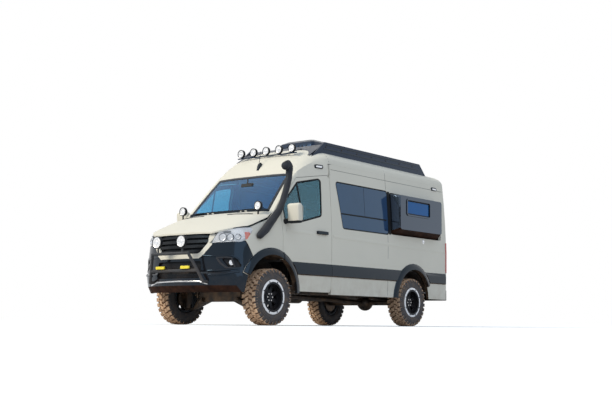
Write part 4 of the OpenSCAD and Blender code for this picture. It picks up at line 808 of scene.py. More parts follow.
def add_window_bars():
    """Quarter post of the door windows, and the sliding halves of the side windows."""
    for side, name in SIDES:
        door = "door_" + name
        post = (tree_of(door + "_glass"), QUARTER_POST, (side,), 0.03, 0.006)
        lined(door + "_post", [post], SEAL, 40, door)
    panes = tree_of("side_glass")
    bars = (
        (panes, SLIDER_BAR, BOTH, 0.022, 0.005),
        (panes, SLIDER_SPLIT, BOTH, 0.006, 0.0015),
        (SIDE_TREE, POD_POST, (LEFT,), 0.06, 0.005),
    )
    lined("side_window_bars", bars, SEAL)


SCREEN_TREE = tree_of("windshield")
SCREEN_FOOT_X = 1.8
WIPERS = (((-0.62, 1.672), (0.02, 1.668)), ((0.08, 1.668), (0.66, 1.7)))
WIPER_LIFT = 0.012
WIPER_STEPS = 8
WIPER_FOOT_Z = 1.64
WIPER_CAP = ((0.016, 0), (0.016, 0.014), (0.0, 0.018))


def on_screen(y, z, lift):
    """A point in front of the windscreen, or off its nearest edge."""
    point, normal = cast(SCREEN_TREE, *from_front(y, z))
    if point is None:
        point = SCREEN_TREE.find_nearest(Vector((SCREEN_FOOT_X, y, z)))[0]
    return point + SCREEN_LOOK * lift


def add_wipers():
    bm = bmesh.new()
    for ends in WIPERS:
        start, end = Vector(ends[0]), Vector(ends[1])
        places = [start.lerp(end, i / WIPER_STEPS) for i in range(WIPER_STEPS + 1)]
        tube(bm, [on_screen(y, z, WIPER_LIFT) for y, z in places], 0.007, 8)
        middle = on_screen(*start.lerp(end, 0.5), WIPER_LIFT * 1.6)
        foot = on_screen(end.x - 0.06, WIPER_FOOT_Z, 0.004)
        elbow = middle.lerp(foot, 0.5) + Vector((0.008, 0, 0.008))
        tube(bm, (middle, elbow, foot), 0.008, 8)
        lathe(bm, WIPER_CAP, frame_at(foot, SCREEN_LOOK), 16)
    piece("wipers", bm, [SEAL], 40)


CAB_MIRROR = Vector((1.37, 0.0, 2.12))
CAB_MIRROR_SIZE = (0.25, 0.07, 0.03)
MIRROR_BAND_Z = 1.545
MIRROR_Y = 1.142
MIRROR_PANES = ((1.628, (0.16, 0.2, 0.03)), (1.503, (0.15, 0.04, 0.015)))


def dress_mirrors():
    """The mirror in the cab, and painted caps on black feet with their glass looking back."""
    bm = bmesh.new()
    plate(bm, CAB_MIRROR_SIZE, frame_at(CAB_MIRROR, X_AXIS), 0.03, 0, 0.15)
    tube(bm, (CAB_MIRROR, CAB_MIRROR + Z_AXIS * 0.1), 0.01, 8)
    piece("cab_mirror", bm, [TRIM])
    for side, name in SIDES:
        node = "mirror_" + name
        low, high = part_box(node)
        cut = ((0, 0, MIRROR_BAND_Z), Z_AXIS)
        dressed(node, PAINT, 0.006, others=((PLASTIC, at_height(0, MIRROR_BAND_Z)),), cuts=(cut,))
        bm = bmesh.new()
        for z, size in MIRROR_PANES:
            at = frame_at(Vector((low[0] + 0.003, side * MIRROR_Y, z)), -X_AXIS)
            plate(bm, size, at, 0.005, 0, 0.03)
        piece(node + "_glass", bm, [MIRROR], body="door_" + name)


# Front

MESH_Z = (0.95, 1.245)
MESH_HALF = 0.45
MESH_PITCH = 0.024


def add_grille_mesh():
    """Fine upright bars behind the slats."""
    bm = bmesh.new()
    low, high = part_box("grille")
    back = low[0] + 0.02
    for i in range(int(2 * MESH_HALF / MESH_PITCH) + 1):
        y = i * MESH_PITCH - MESH_HALF
        tube(bm, [(back, y, z) for z in MESH_Z], 0.003, 6)
    piece("grille_mesh", bm, [PLASTIC], 40)


LIP = ((-0.6, 0.56), (-0.43, 0.598), (0.0, 0.606), (0.4, 0.602), (0.53, 0.566))
LIP_R = 0.012
BROW = ((0.43, 0.954), (0.55, 0.948), (0.66, 0.944), (0.76, 0.952), (0.83, 0.95), (0.885, 0.905), (0.905, 0.83))
FOG_FRAME = (
    ((0.64, 0.925), (0.74, 0.93), (0.82, 0.925), (0.87, 0.89), (0.9, 0.8))
    + ((0.84, 0.778), (0.77, 0.785), (0.7, 0.845), (0.64, 0.925))
)
HIGH_LEDGE = ((0.53, 0.742), (0.66, 0.748), (0.775, 0.76), (0.9, 0.782))
LOW_LEDGE = ((0.56, 0.687), (0.69, 0.694), (0.79, 0.708), (0.9, 0.738))
BUMPER_BEADS = (
    (BROW, bead(0.022, 0.009), 3),
    (FOG_FRAME, bead(0.026, 0.006), 2),
    (HIGH_LEDGE, bead(0.03, 0.014), 3),
    (LOW_LEDGE, bead(0.03, 0.014), 3),
)


def add_bumper_trim():
    """Bright lip of the skid plate, and the brows and ledges pressed into the corners."""
    tree = tree_of("front_bumper")
    bm = bmesh.new()
    path, ups = laid(tree, front_line(LIP, LEFT, 0.06), LIP_R * 0.4)
    tube(bm, path, LIP_R, 12, 1)
    for side in BOTH:
        for stations, section, material in BUMPER_BEADS:
            strip(bm, tree, front_line(stations, side), section, material)
    piece("bumper_trim", bm, [POWDER, BRIGHT, MATTE, GLOSS], 50)


HOOD_VENT = ((2.07, 0.24), (2.06, 0.4), (2.045, 0.56), (2.02, 0.68))


def add_hood_vents():
    """Slim dark vents across the rear of the hood."""
    tree = tree_of("hood")
    bm = bmesh.new()
    for side in BOTH:
        rays = [from_above(x, side * y) for x, y in bent(HOOD_VENT, 0.04)]
        strip(bm, tree, rays, bead(0.034, 0.006), 0)
        strip(bm, tree, rays, bead(0.02, 0.008), 1)
    piece("hood_vents", bm, [GLOSS, SEAL], 40, "hood")


# Lamps


def islands(node):
    """The solids of a node: centre, the way it looks, radius, and front and back along that."""
    bm = node_bmesh(node)
    left = dict.fromkeys(bm.verts)
    found = []
    while left:
        group = [left.popitem()[0]]
        for vert in group:
            for edge in vert.link_edges:
                other = edge.other_vert(vert)
                if other in left:
                    del left[other]
                    group.append(other)
        areas = {}
        for face in dict.fromkeys(f for v in group for f in v.link_faces):
            key = tuple(round(c, 2) for c in face.normal)
            areas[key] = areas.get(key, 0.0) + face.calc_area()
        axis = Vector(max((key for key in areas if key[0] > 0.1), key=areas.get)).normalized()
        centre = sum((v.co for v in group), Vector()) / len(group)
        arms = [v.co - centre for v in group]
        depths = [arm.dot(axis) for arm in arms]
        radius = max((arm - axis * depth).length for arm, depth in zip(arms, depths))
        found.append((centre, axis, radius, max(depths), min(depths)))
    bm.free()
    return found


# Shares of the lamp's radius and depth, from its back: bowl, bulb shield, inner ring and domed glass.
LAMP_PROFILES = (
    (((1.0, 1.0), (0.86, 0.55), (0.5, 0.25), (0.0, 0.2)), 20, 0),
    (((0.3, 0.0), (0.3, 0.8), (0.22, 1.0), (0.0, 1.0)), 20, 1),
    (((0.62, 0.0), (0.64, 0.7), (0.66, 0.0)), 32, 1),
    (((1.0, 0.9), (0.85, 1.13875), (0.6, 1.32), (0.3, 1.455), (0.0, 1.5)), 32, 2),
)
LAMP_BAR_DEPTH = 0.7


def round_lamp(bm, centre, axis, radius, front, back):
    """A faceted bowl with its bulb shield, crossed bars and a domed glass."""
    at = frame_at(centre, axis)
    depth = front - back
    for profile, segments, material in LAMP_PROFILES:
        lathe(bm, [(radius * r, back + depth * d) for r, d in profile], at, segments, material)
    for turn in (0, 90):
        bar = at @ Matrix.Rotation(math.radians(turn), 4, "Z")
        bar @= Matrix.Translation((0, 0, back + depth * LAMP_BAR_DEPTH))
        plate(bm, (radius * 1.9, radius * 0.06, radius * 0.02, 1), bar, depth * 0.15, 1)


AMBER_TOP = 0.83
AMBER_HALF_Y = 0.4
AMBER_SIZE = (0.034, 0.17, 0.042)
AMBER_RIBS = 7


def amber_lamp(bm, centre):
    """A bar lamp with upright ribs."""
    depth, width, height = AMBER_SIZE
    at = frame_at(centre - X_AXIS * depth / 2, X_AXIS)
    plate(bm, (width, height, height * 0.25), at, depth, 3, 0.05)
    for i in range(AMBER_RIBS):
        y = width * 0.8 * (i / (AMBER_RIBS - 1) - 0.5)
        rib = at @ Matrix.Translation((y, 0, depth * 0.9))
        plate(bm, (width * 0.06, height * 0.7, height * 0.1, 2), rib, depth * 0.15, 3, 0.1)


def dress_lamps():
    for node in ("lamp_housings", "hood_lamps"):
        dressed(node, PLASTIC)
    for node in ("lamp_lenses", "hood_lamp_lenses"):
        bm = bmesh.new()
        for centre, *shape in islands(node):
            if centre.z < AMBER_TOP and abs(centre.y) < AMBER_HALF_Y:
                amber_lamp(bm, centre)
            else:
                round_lamp(bm, centre, *shape)
        made = piece(node + "_glazed", bm, [WHITE_BOWL, CHROME_BOWL, LENS, AMBER_LENS], 10, body_of(node))
        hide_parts(node)


HEAD_DIR = Vector((0.85, 0.5, 0.15)).normalized()
HEAD_FACING = 0.25
HEAD_SINK = 0.03
HEAD_BOWLS = (((2.585, 0.665, 1.205), 0.05), ((2.53, 0.755, 1.205), 0.045), ((2.47, 0.835, 1.215), 0.036))
BOWL_LOOK = (0.93, 0.36, 0.02)
HEAD_STRIPS = (
    (((0.6, 1.15), (0.68, 1.145), (0.76, 1.15), (0.83, 1.16)), 0.007, 1),
    (((0.61, 1.265), (0.7, 1.275), (0.78, 1.285)), 0.011, 3),
)
MARKER_X = (2.33, 2.42)
MARKER_TOP = 1.29


def on_its_side(direction, place):
    """A direction of the left side, for the side that a place is on."""
    return Vector((direction[0], math.copysign(direction[1], place.y), direction[2]))


def headlamp_bmesh(sink):
    """The outward faces of the headlamps, sunk by a depth."""
    bm = node_bmesh("headlamps")
    bmesh.ops.recalc_face_normals(bm, faces=bm.faces)
    looks = {face: on_its_side(HEAD_DIR, face.calc_center_median()) for face in bm.faces}
    gone = [face for face, look in looks.items() if face.normal.dot(look) < HEAD_FACING]
    bmesh.ops.delete(bm, geom=gone, context="FACES")
    for vert in bm.verts:
        vert.co -= on_its_side(HEAD_DIR, vert.co) * sink
    return bm


def head_bowl(bm, at, r):
    """A bright bowl in a dark rim, with its lens."""
    lathe(bm, ((r, 0.014), (r * 0.92, 0.004), (r * 0.55, -0.006), (0, -0.01)), at, 28, 0)
    lathe(bm, ((r, 0.014), (r * 1.16, 0.014), (r * 1.18, 0.0)), at, 28, 3)
    lathe(bm, ((r * 0.5, -0.004), (r * 0.46, 0.006), (r * 0.3, 0.012), (0, 0.014)), at, 24, 2)


def dress_headlamps():
    cover = piece("headlamp_covers", headlamp_bmesh(0.0), [HEAD_GLASS], 30)
    skin = cover.modifiers.new("wall", "SOLIDIFY")
    skin.thickness = 0.003
    skin.offset = -1
    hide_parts("headlamps")
    inner = headlamp_bmesh(HEAD_SINK)
    cut_planes(inner, [((x, 0, 0), X_AXIS) for x in MARKER_X] + [((0, 0, MARKER_TOP), Z_AXIS)])
    for face in inner.faces:
        centre = face.calc_center_median()
        face.material_index = int(MARKER_X[0] < centre.x < MARKER_X[1] and centre.z < MARKER_TOP)
    piece("headlamp_bezels", inner, [HEAD_BEZEL, ORANGE_LENS], 30)
    bm = bmesh.new()
    tree = tree_of("headlamps")
    for side in BOTH:
        for (x, y, z), radius in HEAD_BOWLS:
            place = Vector((x, side * y, z))
            axis = on_its_side(BOWL_LOOK, place)
            surface, normal = cast(tree, place + axis, -axis)
            head_bowl(bm, frame_at(surface - axis.normalized() * HEAD_SINK, axis), radius)
        for stations, radius, material in HEAD_STRIPS:
            path, ups = laid(tree, [from_front(side * y, z) for y, z in stations])
            tube(bm, [point - X_AXIS * 0.02 for point in path], radius, 8, material)
    piece("headlamp_bowls", bm, [CHROME_BOWL, WHITE_BOWL, LENS, GLOSS], 30)


TAIL_CUTS = (1.02, 1.1, 1.18)


def dress_tail_lamps():
    cuts = [((0, 0, z), Z_AXIS) for z in TAIL_CUTS]
    others = ((WHITE_LENS, at_height(*TAIL_CUTS[:2])), (ORANGE_LENS, at_height(*TAIL_CUTS[1:])))
    dressed("tail_lamps", RED_LENS, others=others, cuts=cuts)


# Roof

ROOF_TREE = tree_of("roof")
ANTENNA_X = 1.105
FIN = ((-0.075, 0.0), (0.075, 0.0), (-0.03, 0.05), (-0.07, 0.05))
FIN_HALF = 0.022
FIN_TIP = Vector((-0.05, 0.05, 0))
WHIP = ((0, 0, 0), (-0.01, 0, 0.095), (-0.03, 0, 0.19))


def add_antenna():
    bm = bmesh.new()
    point, normal = cast(ROOF_TREE, *from_above(ANTENNA_X, 0))
    along = Vector((normal.z, 0, -normal.x))
    turn = Matrix((along, normal, along.cross(normal))).transposed().to_4x4()
    at = Matrix.Translation(point - normal * 0.004) @ turn
    slab(bm, FIN, at @ Matrix.Translation((0, 0, -FIN_HALF)), 2 * FIN_HALF, 0, 0.15)
    tube(bm, [at @ FIN_TIP + Vector(place) for place in WHIP], 0.004, 8)
    piece("antenna", bm, [GLOSS])


RACK_RIDGES_Z = (2.66, 2.74, 2.81)
RACK_FOOT_Z = 2.6
RACK_ENDS_X = (0.62, -2.42)
BOLT_Z = 2.775
BOLT_START = 0.2
BOLT_STEP = 0.42
BOLT = ((0.013, 0), (0.012, 0.005), (0.006, 0.007), (0, 0.007))


def add_rack_trim():
    """Pressed ridges and bolts along the side fairings of the rack."""
    tree = tree_of("roof_rack")
    front, rear = RACK_ENDS_X
    bm = bmesh.new()
    for side in BOTH:
        for z in RACK_RIDGES_Z:
            lean = z - RACK_FOOT_Z
            side_line(bm, tree, ((front - lean, z), (rear + lean, z)), side, 0.018, 0.004)
        places = [front - BOLT_START - i * BOLT_STEP for i in range(int((front - rear) / BOLT_STEP))]
        studs(bm, tree, [from_side(x, BOLT_Z, side) for x in places], BOLT, 12, 1)
    piece("rack_trim", bm, [GLOSS, STEEL], 40)


LOUVRES = 7
LOUVRE_SPREAD = (0.5, 0.6)
LOUVRE_HEIGHTS = (0.3, 0.45, 0.6)


def add_unit_louvres():
    """Air slots round the roof unit."""
    tree = tree_of("roof_unit")
    low, high = [Vector(corner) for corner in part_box("roof_unit")]
    middle = (low + high) / 2
    size = high - low
    heights = [low.z + size.z * share for share in LOUVRE_HEIGHTS]
    bm = bmesh.new()
    for i in range(LOUVRES):
        share = i / (LOUVRES - 1) - 0.5
        x = middle.x + size.x * LOUVRE_SPREAD[0] * share
        y = middle.y + size.y * LOUVRE_SPREAD[1] * share
        for side in BOTH:
            strip(bm, tree, [from_side(x, z, side) for z in heights], bead(0.02, 0.005))
        for ray in (from_front, from_rear):
            strip(bm, tree, [ray(y, z) for z in heights], bead(0.02, 0.005))
    piece("roof_unit_louvres", bm, [RIBBED], 40)


INTAKE_SLOTS = 6
INTAKE_TOP = 0.03
INTAKE_PITCH = 0.017
INTAKE_ACROSS = (-0.06, -0.04, -0.02, 0.0, 0.02, 0.04, 0.06)
INTAKE_FRONT_X = 1.62


def add_snorkel_trim():
    """Slots in the head of the raised intake."""
    tree = tree_of("snorkel")
    low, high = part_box("snorkel")
    middle = (low[1] + high[1]) / 2
    bm = bmesh.new()
    for i in range(INTAKE_SLOTS):
        z = high[2] - INTAKE_TOP - INTAKE_PITCH * i
        path, ups = laid(tree, [from_front(middle + across, z) for across in INTAKE_ACROSS])
        kept = [k for k, point in enumerate(path) if point.x < INTAKE_FRONT_X]
        if len(kept) > 2:
            sweep(bm, [path[k] for k in kept], [ups[k] for k in kept], bead(0.006, 0.003))
    piece("snorkel_slots", bm, [SEAL], 40)


# Rear

REAR_HANDLE = (0.1, 1.2)
HINGES = ((0.8, 0.86), (0.79, 1.4), (0.68, 2.35))
BRAKE_LAMP_Z = 2.725


def add_rear_trim():
    tree = tree_of("rear_door_left", "rear_door_right")
    bm = bmesh.new()
    at = seat_on(tree, from_rear(*REAR_HANDLE))
    plate(bm, (0.16, 0.07, 0.03), at, 0.006)
    plate(bm, (0.13, 0.03, 0.014), at, 0.022, 0, 0.1)
    piece("rear_door_left_trim", bm, [PLASTIC], body="rear_door_left")
    for side, name in SIDES:
        bm = bmesh.new()
        for y, z in HINGES:
            plate(bm, (0.08, 0.05, 0.012), seat_on(tree, from_rear(side * y, z)), 0.008, 0, 0.05)
        piece("rear_door_%s_hinges" % name, bm, [PLASTIC], body="rear_door_" + name)
    bm = bmesh.new()
    at = seat_on(ROOF_TREE, from_rear(0, BRAKE_LAMP_Z))
    plate(bm, (0.34, 0.035, 0.012), at, 0.008, 0, 0.04)
    piece("high_brake_lamp", bm, [RED_LENS])


# Chassis

COIL_R = 0.06
COIL_WIRE = 0.009
COIL_TURNS = 5
COIL_STEPS = 70
COIL_Z = (0.44, 0.72)
SPRING_Y = 0.5
DAMPER = (((0.4, 0.6), 0.026, 14), ((0.58, 0.78), 0.014, 12))
EXHAUST = ((0.9, -0.28, 0.43), (-0.9, -0.3, 0.43), (-1.3, -0.5, 0.46), (-2.6, -0.55, 0.43))
MUFFLER_AT = Vector((-0.3, -0.29, 0.46))
MUFFLER = ((0.03, 0), (0.1, 0.03), (0.105, 0.6), (0.03, 0.64))


def dress_chassis():
    """Dark metal below, with coil springs, dampers and the exhaust."""
    for node in ("underbody", "driveline", "front_axle", "rear_axle", "knuckle_left", "knuckle_right"):
        dressed(node, STEEL)
    dressed("engine", STEEL, 0.006)
    bm = bmesh.new()
    front_low, front_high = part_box("front_axle")
    x = (front_low[0] + front_high[0]) / 2
    for side in BOTH:
        y = side * SPRING_Y
        wire = []
        for i in range(COIL_STEPS + 1):
            share = i / COIL_STEPS
            height = COIL_Z[0] + (COIL_Z[1] - COIL_Z[0]) * share
            wire.append(Vector((x, y, 0)) + polar(COIL_R, 2 * math.pi * COIL_TURNS * share, height))
        sweep(bm, wire, [Z_AXIS] * len(wire), polygon(8, COIL_WIRE))
        for ends, radius, sides in DAMPER:
            tube(bm, [(x, y, z) for z in ends], radius, sides)
    tube(bm, bent(EXHAUST, 0.1), 0.03, 14)
    lathe(bm, MUFFLER, frame_at(MUFFLER_AT, X_AXIS, Y_AXIS), 28)
    piece("springs_and_exhaust", bm, [STEEL], 40)


# Cab

CUSHION_STEPS = 10
UNDER_SWELL = 0.15


def cushion(bm, at, size, corner, crown):
    """A block with round edges whose top swells by crown."""
    made = {}

    def vert(u, v, w):
        key = (round(u, 4), round(v, 4), round(w, 4))
        if key not in made:
            p = Vector((u, v, w))
            core = Vector([max(corner - 1, min(1 - corner, c)) for c in p])
            out = p - core
            if out.length > 0:
                p = core + out.normalized() * corner
            swell = crown * max(0.0, 1 - u * u) * max(0.0, 1 - v * v) * (1 if w > 0 else UNDER_SWELL)
            half = Vector(size) / 2
            made[key] = bm.verts.new(at @ Vector((p.x * half.x, p.y * half.y, p.z * half.z + swell)))
        return made[key]

    steps = [2 * i / CUSHION_STEPS - 1 for i in range(CUSHION_STEPS + 1)]
    for axis in range(3):
        for end in (-1, 1):
            for a0, a1 in zip(steps, steps[1:]):
                for b0, b1 in zip(steps, steps[1:]):
                    corners = []
                    for spot in ([a0, b0], [a1, b0], [a1, b1], [a0, b1]):
                        spot.insert(axis, end)
                        corners.append(vert(*spot))
                    bm.faces.new(corners)


def piping(bm, at, size, inset):
    outline = rounded_rect(size[0] - inset, size[1] - inset, min(size[0], size[1]) * 0.2, 6)
    path = [at @ Vector((x, y, size[2] / 2 + PIPING_R)) for x, y in outline]
    up = (at.to_3x3() @ Z_AXIS).normalized()
    sweep(bm, path, [up] * len(path), polygon(6, PIPING_R), 1, True)


PIPING_R = 0.006
SEAT_Y = 0.43
UPRIGHT = Matrix.Rotation(math.pi / 2 - math.radians(12), 4, "Y")
FLAT_SEAT = Matrix.Identity(4)
SIDE_PAD = ((0.48, 0.09, 0.17), 0.6, 0.012, None)
# Place beside the seat's middle, turn, size, share of the round corners, crown and inset of the piped seam.
CUSHIONS = (
    ((0.97, 0.0, 1.055), FLAT_SEAT, (0.48, 0.48, 0.15), 0.45, 0.02, 0.13),
    ((0.71, 0.0, 1.39), UPRIGHT, (0.6, 0.47, 0.14), 0.45, 0.02, 0.14),
    ((0.74, -0.17, 1.36), UPRIGHT, *SIDE_PAD),
    ((0.74, 0.17, 1.36), UPRIGHT, *SIDE_PAD),
    ((0.655, 0.0, 1.775), UPRIGHT, (0.16, 0.26, 0.1), 0.6, 0.012, None),
)
SEAT_BASE_AT = (0.93, 0.637)
SEAT_BASE = (0.42, 0.46, 0.04)
SEAT_BASE_H = 0.34
REST_RODS = (-0.05, 0.05)


def dress_seats():
    """Crowned cushions with piped seams on plain bases."""
    bm = bmesh.new()
    base = bmesh.new()
    for side in BOTH:
        y = side * SEAT_Y
        for (x, beside, z), turn, size, corner, crown, inset in CUSHIONS:
            at = Matrix.Translation((x, y + beside, z)) @ turn
            cushion(bm, at, size, corner, crown)
            if inset:
                piping(bm, at, size, inset)
        at = frame_at(Vector((SEAT_BASE_AT[0], y, SEAT_BASE_AT[1])), Z_AXIS, X_AXIS)
        plate(base, SEAT_BASE, at, SEAT_BASE_H, 0, 0.06)
        for rod in REST_RODS:
            tube(base, ((0.665, y + rod, 1.66), (0.655, y + rod, 1.75)), 0.007, 8, 1)
    seats = piece("seat_cushions", bm, [SEAT, PIPING], 60)
    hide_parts("front_seats")
    piece("seat_bases", base, [TRIM, ALLOY])


DASH_SCREEN_Z = 1.36
DASH_VENTS_Y = (-0.7, -0.24, 0.22, 0.7)
DASH_VENT_Z = 1.35
DASH_VENT = ((0.045, 0), (0.045, 0.008), (0.034, 0.01), (0.03, 0.002), (0, 0.002))


def from_seats(y, z):
    return (-1, y, z), (1, 0, 0)


def dress_cab():
    dressed("dashboard", TRIM, 0.004)
    dress_seats()
    bm = bmesh.new()
    tree = tree_of("dashboard")
    at = seat_on(tree, from_seats(0, DASH_SCREEN_Z), -0.01)
    plate(bm, (0.3, 0.13, 0.012), at, 0.025)
    plate(bm, (0.28, 0.115, 0.01), at, 0.027, 1)
    studs(bm, tree, [from_seats(y, DASH_VENT_Z) for y in DASH_VENTS_Y], DASH_VENT, 24)
    piece("dash_fittings", bm, [PLASTIC, GLOSS])


# Wheels

TREAD_PITCHES = 30
TREAD_TOP = 0.402
TREAD_ROOT = 0.38
SHOULDER_ROOT = 0.37
HALF_CARCASS = (
    ((0.222, 0.098), (0.232, 0.113), (0.27, 0.126), (0.318, 0.129))
    + ((0.352, 0.124), (0.374, 0.112), (0.385, 0.09), (0.387, 0.0))
)
CARCASS = HALF_CARCASS + tuple((radius, -across) for radius, across in HALF_CARCASS[-2::-1])
WALL_FACING = 0.75
WALL_Z = 0.125
WALL_RIBS = ((0.262, 0.124), (0.3, 0.1285), (0.33, 0.128))
RIB_HALF = 0.003
RIB_LIFT = 0.0025
BLOCK_FACES = ((0, 1, 3, 2), (4, 6, 7, 5), (0, 2, 6, 4), (1, 5, 7, 3), (2, 3, 7, 6), (0, 4, 5, 1))


def wheel_at(wheel):
    end, name = wheel.split("_")
    side = LEFT if name == "left" else RIGHT
    return frame_at(Vector((AXLE_X[end], side * WHEEL_Y, AXLE_Z)), Vector((0, side, 0)))


def tread_block(bm, at, angle, half, ends):
    """A block of tread between two ends, each a low and a top radius, a place across and a turn."""
    corners = []
    for low, top, across, turn in ends:
        for radius in (low, top):
            for edge in (-half, half):
                corners.append(bm.verts.new(at @ polar(radius, angle + turn + edge, across)))
    for quad in BLOCK_FACES:
        bm.faces.new([corners[i] for i in quad]).material_index = 1


def tyre(wheel, at, out):
    """Carcass with staggered middle blocks and shoulder lugs that wrap over the edge."""
    bm = bmesh.new()
    lathe(bm, CARCASS, at, 90, 0, True)
    pitch = 2 * math.pi / TREAD_PITCHES
    edge = TREAD_TOP - 0.004
    for i in range(TREAD_PITCHES):
        reach = 0.012 if i % 2 else 0.0
        for side in (1, -1):
            angle = pitch * (i + (0.5 if side > 0 else 0.0))
            inner = (TREAD_ROOT, TREAD_TOP, side * 0.066, 0.03 * side)
            outer = (SHOULDER_ROOT, edge, side * 0.122, 0.0)
            tread_block(bm, at, angle, pitch * 0.33, (inner, outer))
            wrap = ((SHOULDER_ROOT, edge - 0.001, side * 0.12, 0.0), (0.345 - reach, 0.376, side * 0.1318, 0.0))
            tread_block(bm, at, angle, pitch * 0.3, wrap)
            middle = ((TREAD_ROOT, TREAD_TOP, side * 0.006, 0.0), (TREAD_ROOT, TREAD_TOP, side * 0.058, 0.055))
            tread_block(bm, at, angle + pitch * 0.42, pitch * 0.36, middle)
    made = piece("tyre_lugged_" + wheel, bm, [SIDEWALL, TREAD, SHADED_TREAD], body="wheel_" + wheel)
    for face in made.data.polygons:
        arm = face.center - at.translation
        across = arm.dot(out)
        if abs(face.normal.dot(out)) > WALL_FACING and abs(across) > WALL_Z:
            face.material_index = 0
        # Carcass faces between the blocks take the darker copy, painted shade in the grooves.
        elif face.material_index == 0 and (arm - out * across).length > TREAD_ROOT:
            face.material_index = 2
    rounded_edges(made, 0.002, 40, 1)
    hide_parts("tyre_" + wheel)
    ribs = bmesh.new()
    for radius, across in WALL_RIBS:
        low = across - RIB_HALF
        section = ((radius - RIB_HALF, low), (radius, across + RIB_LIFT), (radius + RIB_HALF, low))
        lathe(ribs, section, at, 72, 0, True)
    piece("tyre_ribs_" + wheel, ribs, [SIDEWALL], 40, "wheel_" + wheel)


RING_SECTION = ((0.212, 0.114), (0.215, 0.1255), (0.238, 0.1265), (0.247, 0.122), (0.248, 0.11))
RING_R = 0.226
RING_FACE = 0.126
RING_BOLTS = 8
SPOKES = 8
SPOKE_RADII = (0.085, 0.11, 0.14, 0.172)
SPOKE_SKEW = (-0.014, 0.014)
LUGS = 6
LUG_R = 0.052
HUB_CAP = ((0.033, 0), (0.033, 0.006), (0.028, 0.012), (0.0, 0.015))
BESIDE_WHEEL = 0.4


def dress_wheel(wheel):
    """Tyre and rim, with the bright ring, its bolts, spoke ribs in a lighter grey that paints the spokes'
    highlights, nuts and the hub's cap.
    """
    at = wheel_at(wheel)
    out = at.to_3x3() @ Z_AXIS
    tyre(wheel, at, out)
    dressed("rim_" + wheel, RIM, 0.0015, dissolve=False)
    rim = tree_of("rim_" + wheel)

    def inward(radius, angle):
        return at @ polar(radius, angle, BESIDE_WHEEL), -out

    bm = bmesh.new()
    lathe(bm, RING_SECTION, at, 72, 3, True)
    for angle in circle(RING_BOLTS):
        spot = at @ Matrix.Translation(polar(RING_R, angle + math.pi / RING_BOLTS, RING_FACE))
        slab(bm, polygon(6, 0.012), spot, 0.004, 1, 0.1)
    # Grey ribs along each spoke's edges, a painted highlight on the black spokes.
    for angle in circle(SPOKES):
        for skew in SPOKE_SKEW:
            rays = [inward(radius, angle + skew / radius) for radius in SPOKE_RADII]
            strip(bm, rim, rays, bead(0.012, 0.007), 4, out)
    for angle in circle(LUGS):
        point, normal = cast(rim, *inward(LUG_R, angle))
        slab(bm, polygon(6, 0.0115), frame_at(point, out), 0.016, 2, 0.1)
    point, normal = cast(rim, *inward(0.0, 0.0))
    lathe(bm, HUB_CAP, frame_at(point, out), 28)
    piece("rim_trim_" + wheel, bm, [RIM, GLOSS, BRIGHT, RING, SPOKE_HIGHLIGHT], 40, "wheel_" + wheel)


# Studio and camera

PHOTO_W = 612
CAMERA_AT = Vector((13.0655, 10.328, 0.05))
CAMERA_YAW = math.radians(218.1556)
CAMERA_PITCH = math.radians(6.574)
CAMERA_ROLL = math.radians(0.534)
FOCAL_PX = 1027.35
SENSOR_MM = 36.0
LOOK_ALONG_X = Matrix(((0, 0, -1), (-1, 0, 0), (0, 1, 0)))


def make_camera():
    data = bpy.data.cameras.new("camera")
    data.sensor_width = SENSOR_MM
    data.lens = FOCAL_PX / PHOTO_W * SENSOR_MM
    data.clip_start = 0.05
    data.clip_end = 200.0
    camera = new_object("camera", data)
    turn = Euler((-CAMERA_ROLL, -CAMERA_PITCH, CAMERA_YAW)).to_matrix() @ LOOK_ALONG_X
    camera.matrix_world = Matrix.Translation(CAMERA_AT) @ turn.to_4x4()
    bpy.context.scene.camera = camera


FLOOR_CORNERS = ((-60, -60, 0), (60, -60, 0), (60, 60, 0), (-60, 60, 0))
FLOOR_SEEN = ((0.97, 0.97, 0.97), (1.0, 1.0, 1.0))
FLOOR_BOUNCE = (0.5, 0.48, 0.46)
FLOOR_GLOW = 0.1
WHITE = (1.0, 1.0, 1.0)


def shows_background(tree):
    """1 for rays that see the white background: from the camera, mirrors and glass."""
    rays = add_node(tree, "LightPath", {})
    last = rays["Is Camera Ray"]
    for ray in ("Is Glossy Ray", "Is Transmission Ray"):
        last = add_node(tree, "Math", {0: last, 1: rays[ray]}, operation="MAXIMUM")["Value"]
    return last


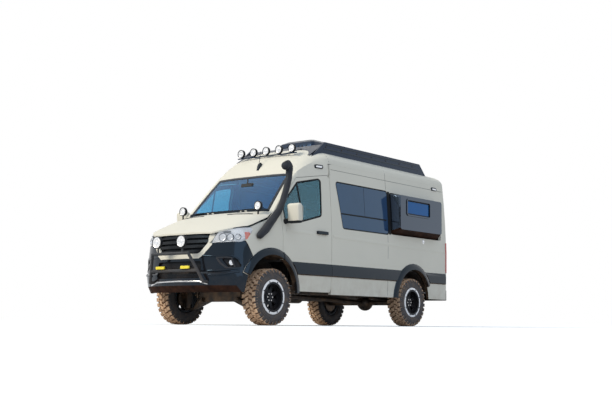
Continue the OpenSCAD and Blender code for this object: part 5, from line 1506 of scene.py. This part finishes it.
def make_floor():
    """A white floor that keeps the shadow and throws less light back than it shows."""
    mesh = bpy.data.meshes.new("floor")
    mesh.from_pydata(FLOOR_CORNERS, [], [(0, 1, 2, 3)])
    shader = Shader("floor", FLOOR_BOUNCE, 0.9)
    shown = shows_background(shader.tree)
    seen = shader.mix(shader.noise(3.0), *FLOOR_SEEN)
    glow = shader.ramp(shown, 0.0, 1.0, 0.0, FLOOR_GLOW)
    shader.give({"Base Color": shader.mix(shown, FLOOR_BOUNCE, seen), "Specular IOR Level": 0.0})
    shader.give({"Emission Color": WHITE, "Emission Strength": glow})
    mesh.materials.append(shader.material)
    floor = new_object("floor", mesh)


def soft_sun(name, place, strength, spread, color):
    """A wide far lamp that shines from place towards the van."""
    data = bpy.data.lights.new(name, "SUN")
    data.energy = strength
    data.angle = math.radians(spread)
    data.color = color
    light = new_object(name, data)
    light.rotation_euler = (-Vector(place)).to_track_quat("-Z", "Y").to_euler()


AMBIENT = (0.84, 0.95, 1.1)
AMBIENT_STRENGTH = 0.5


def make_world():
    """A white backdrop, also for reflections and glass, and a softer light on the van."""
    world = bpy.data.worlds.new("studio")
    bpy.context.scene.world = world
    world.use_nodes = True
    tree = world.node_tree
    tree.nodes.clear()
    light = add_node(tree, "Background", {"Color": AMBIENT, "Strength": AMBIENT_STRENGTH})[0]
    backdrop = add_node(tree, "Background", {"Color": WHITE, "Strength": 1.0})[0]
    picked = add_node(tree, "MixShader", {"Fac": shows_background(tree), 1: light, 2: backdrop})[0]
    add_node(tree, "OutputWorld", {"Surface": picked})


def make_lights():
    soft_sun("key", (11, -5, 8.5), 2.5, 24, (1.0, 0.93, 0.8))
    soft_sun("fill", (5, 13, 7), 0.64, 50, (0.84, 0.96, 1.14))


bpy.context.scene.view_settings.view_transform = "Standard"
dress_body()
add_seams()
add_side_lamps()
dress_glass()
add_window_bars()
add_wipers()
dress_mirrors()
add_grille_mesh()
add_bumper_trim()
add_hood_vents()
dress_lamps()
dress_headlamps()
dress_tail_lamps()
add_antenna()
add_rack_trim()
add_unit_louvres()
add_snorkel_trim()
add_rear_trim()
dress_chassis()
dress_cab()
for wheel in WHEELS:
    dress_wheel(wheel)
make_camera()
make_floor()
make_world()
make_lights()
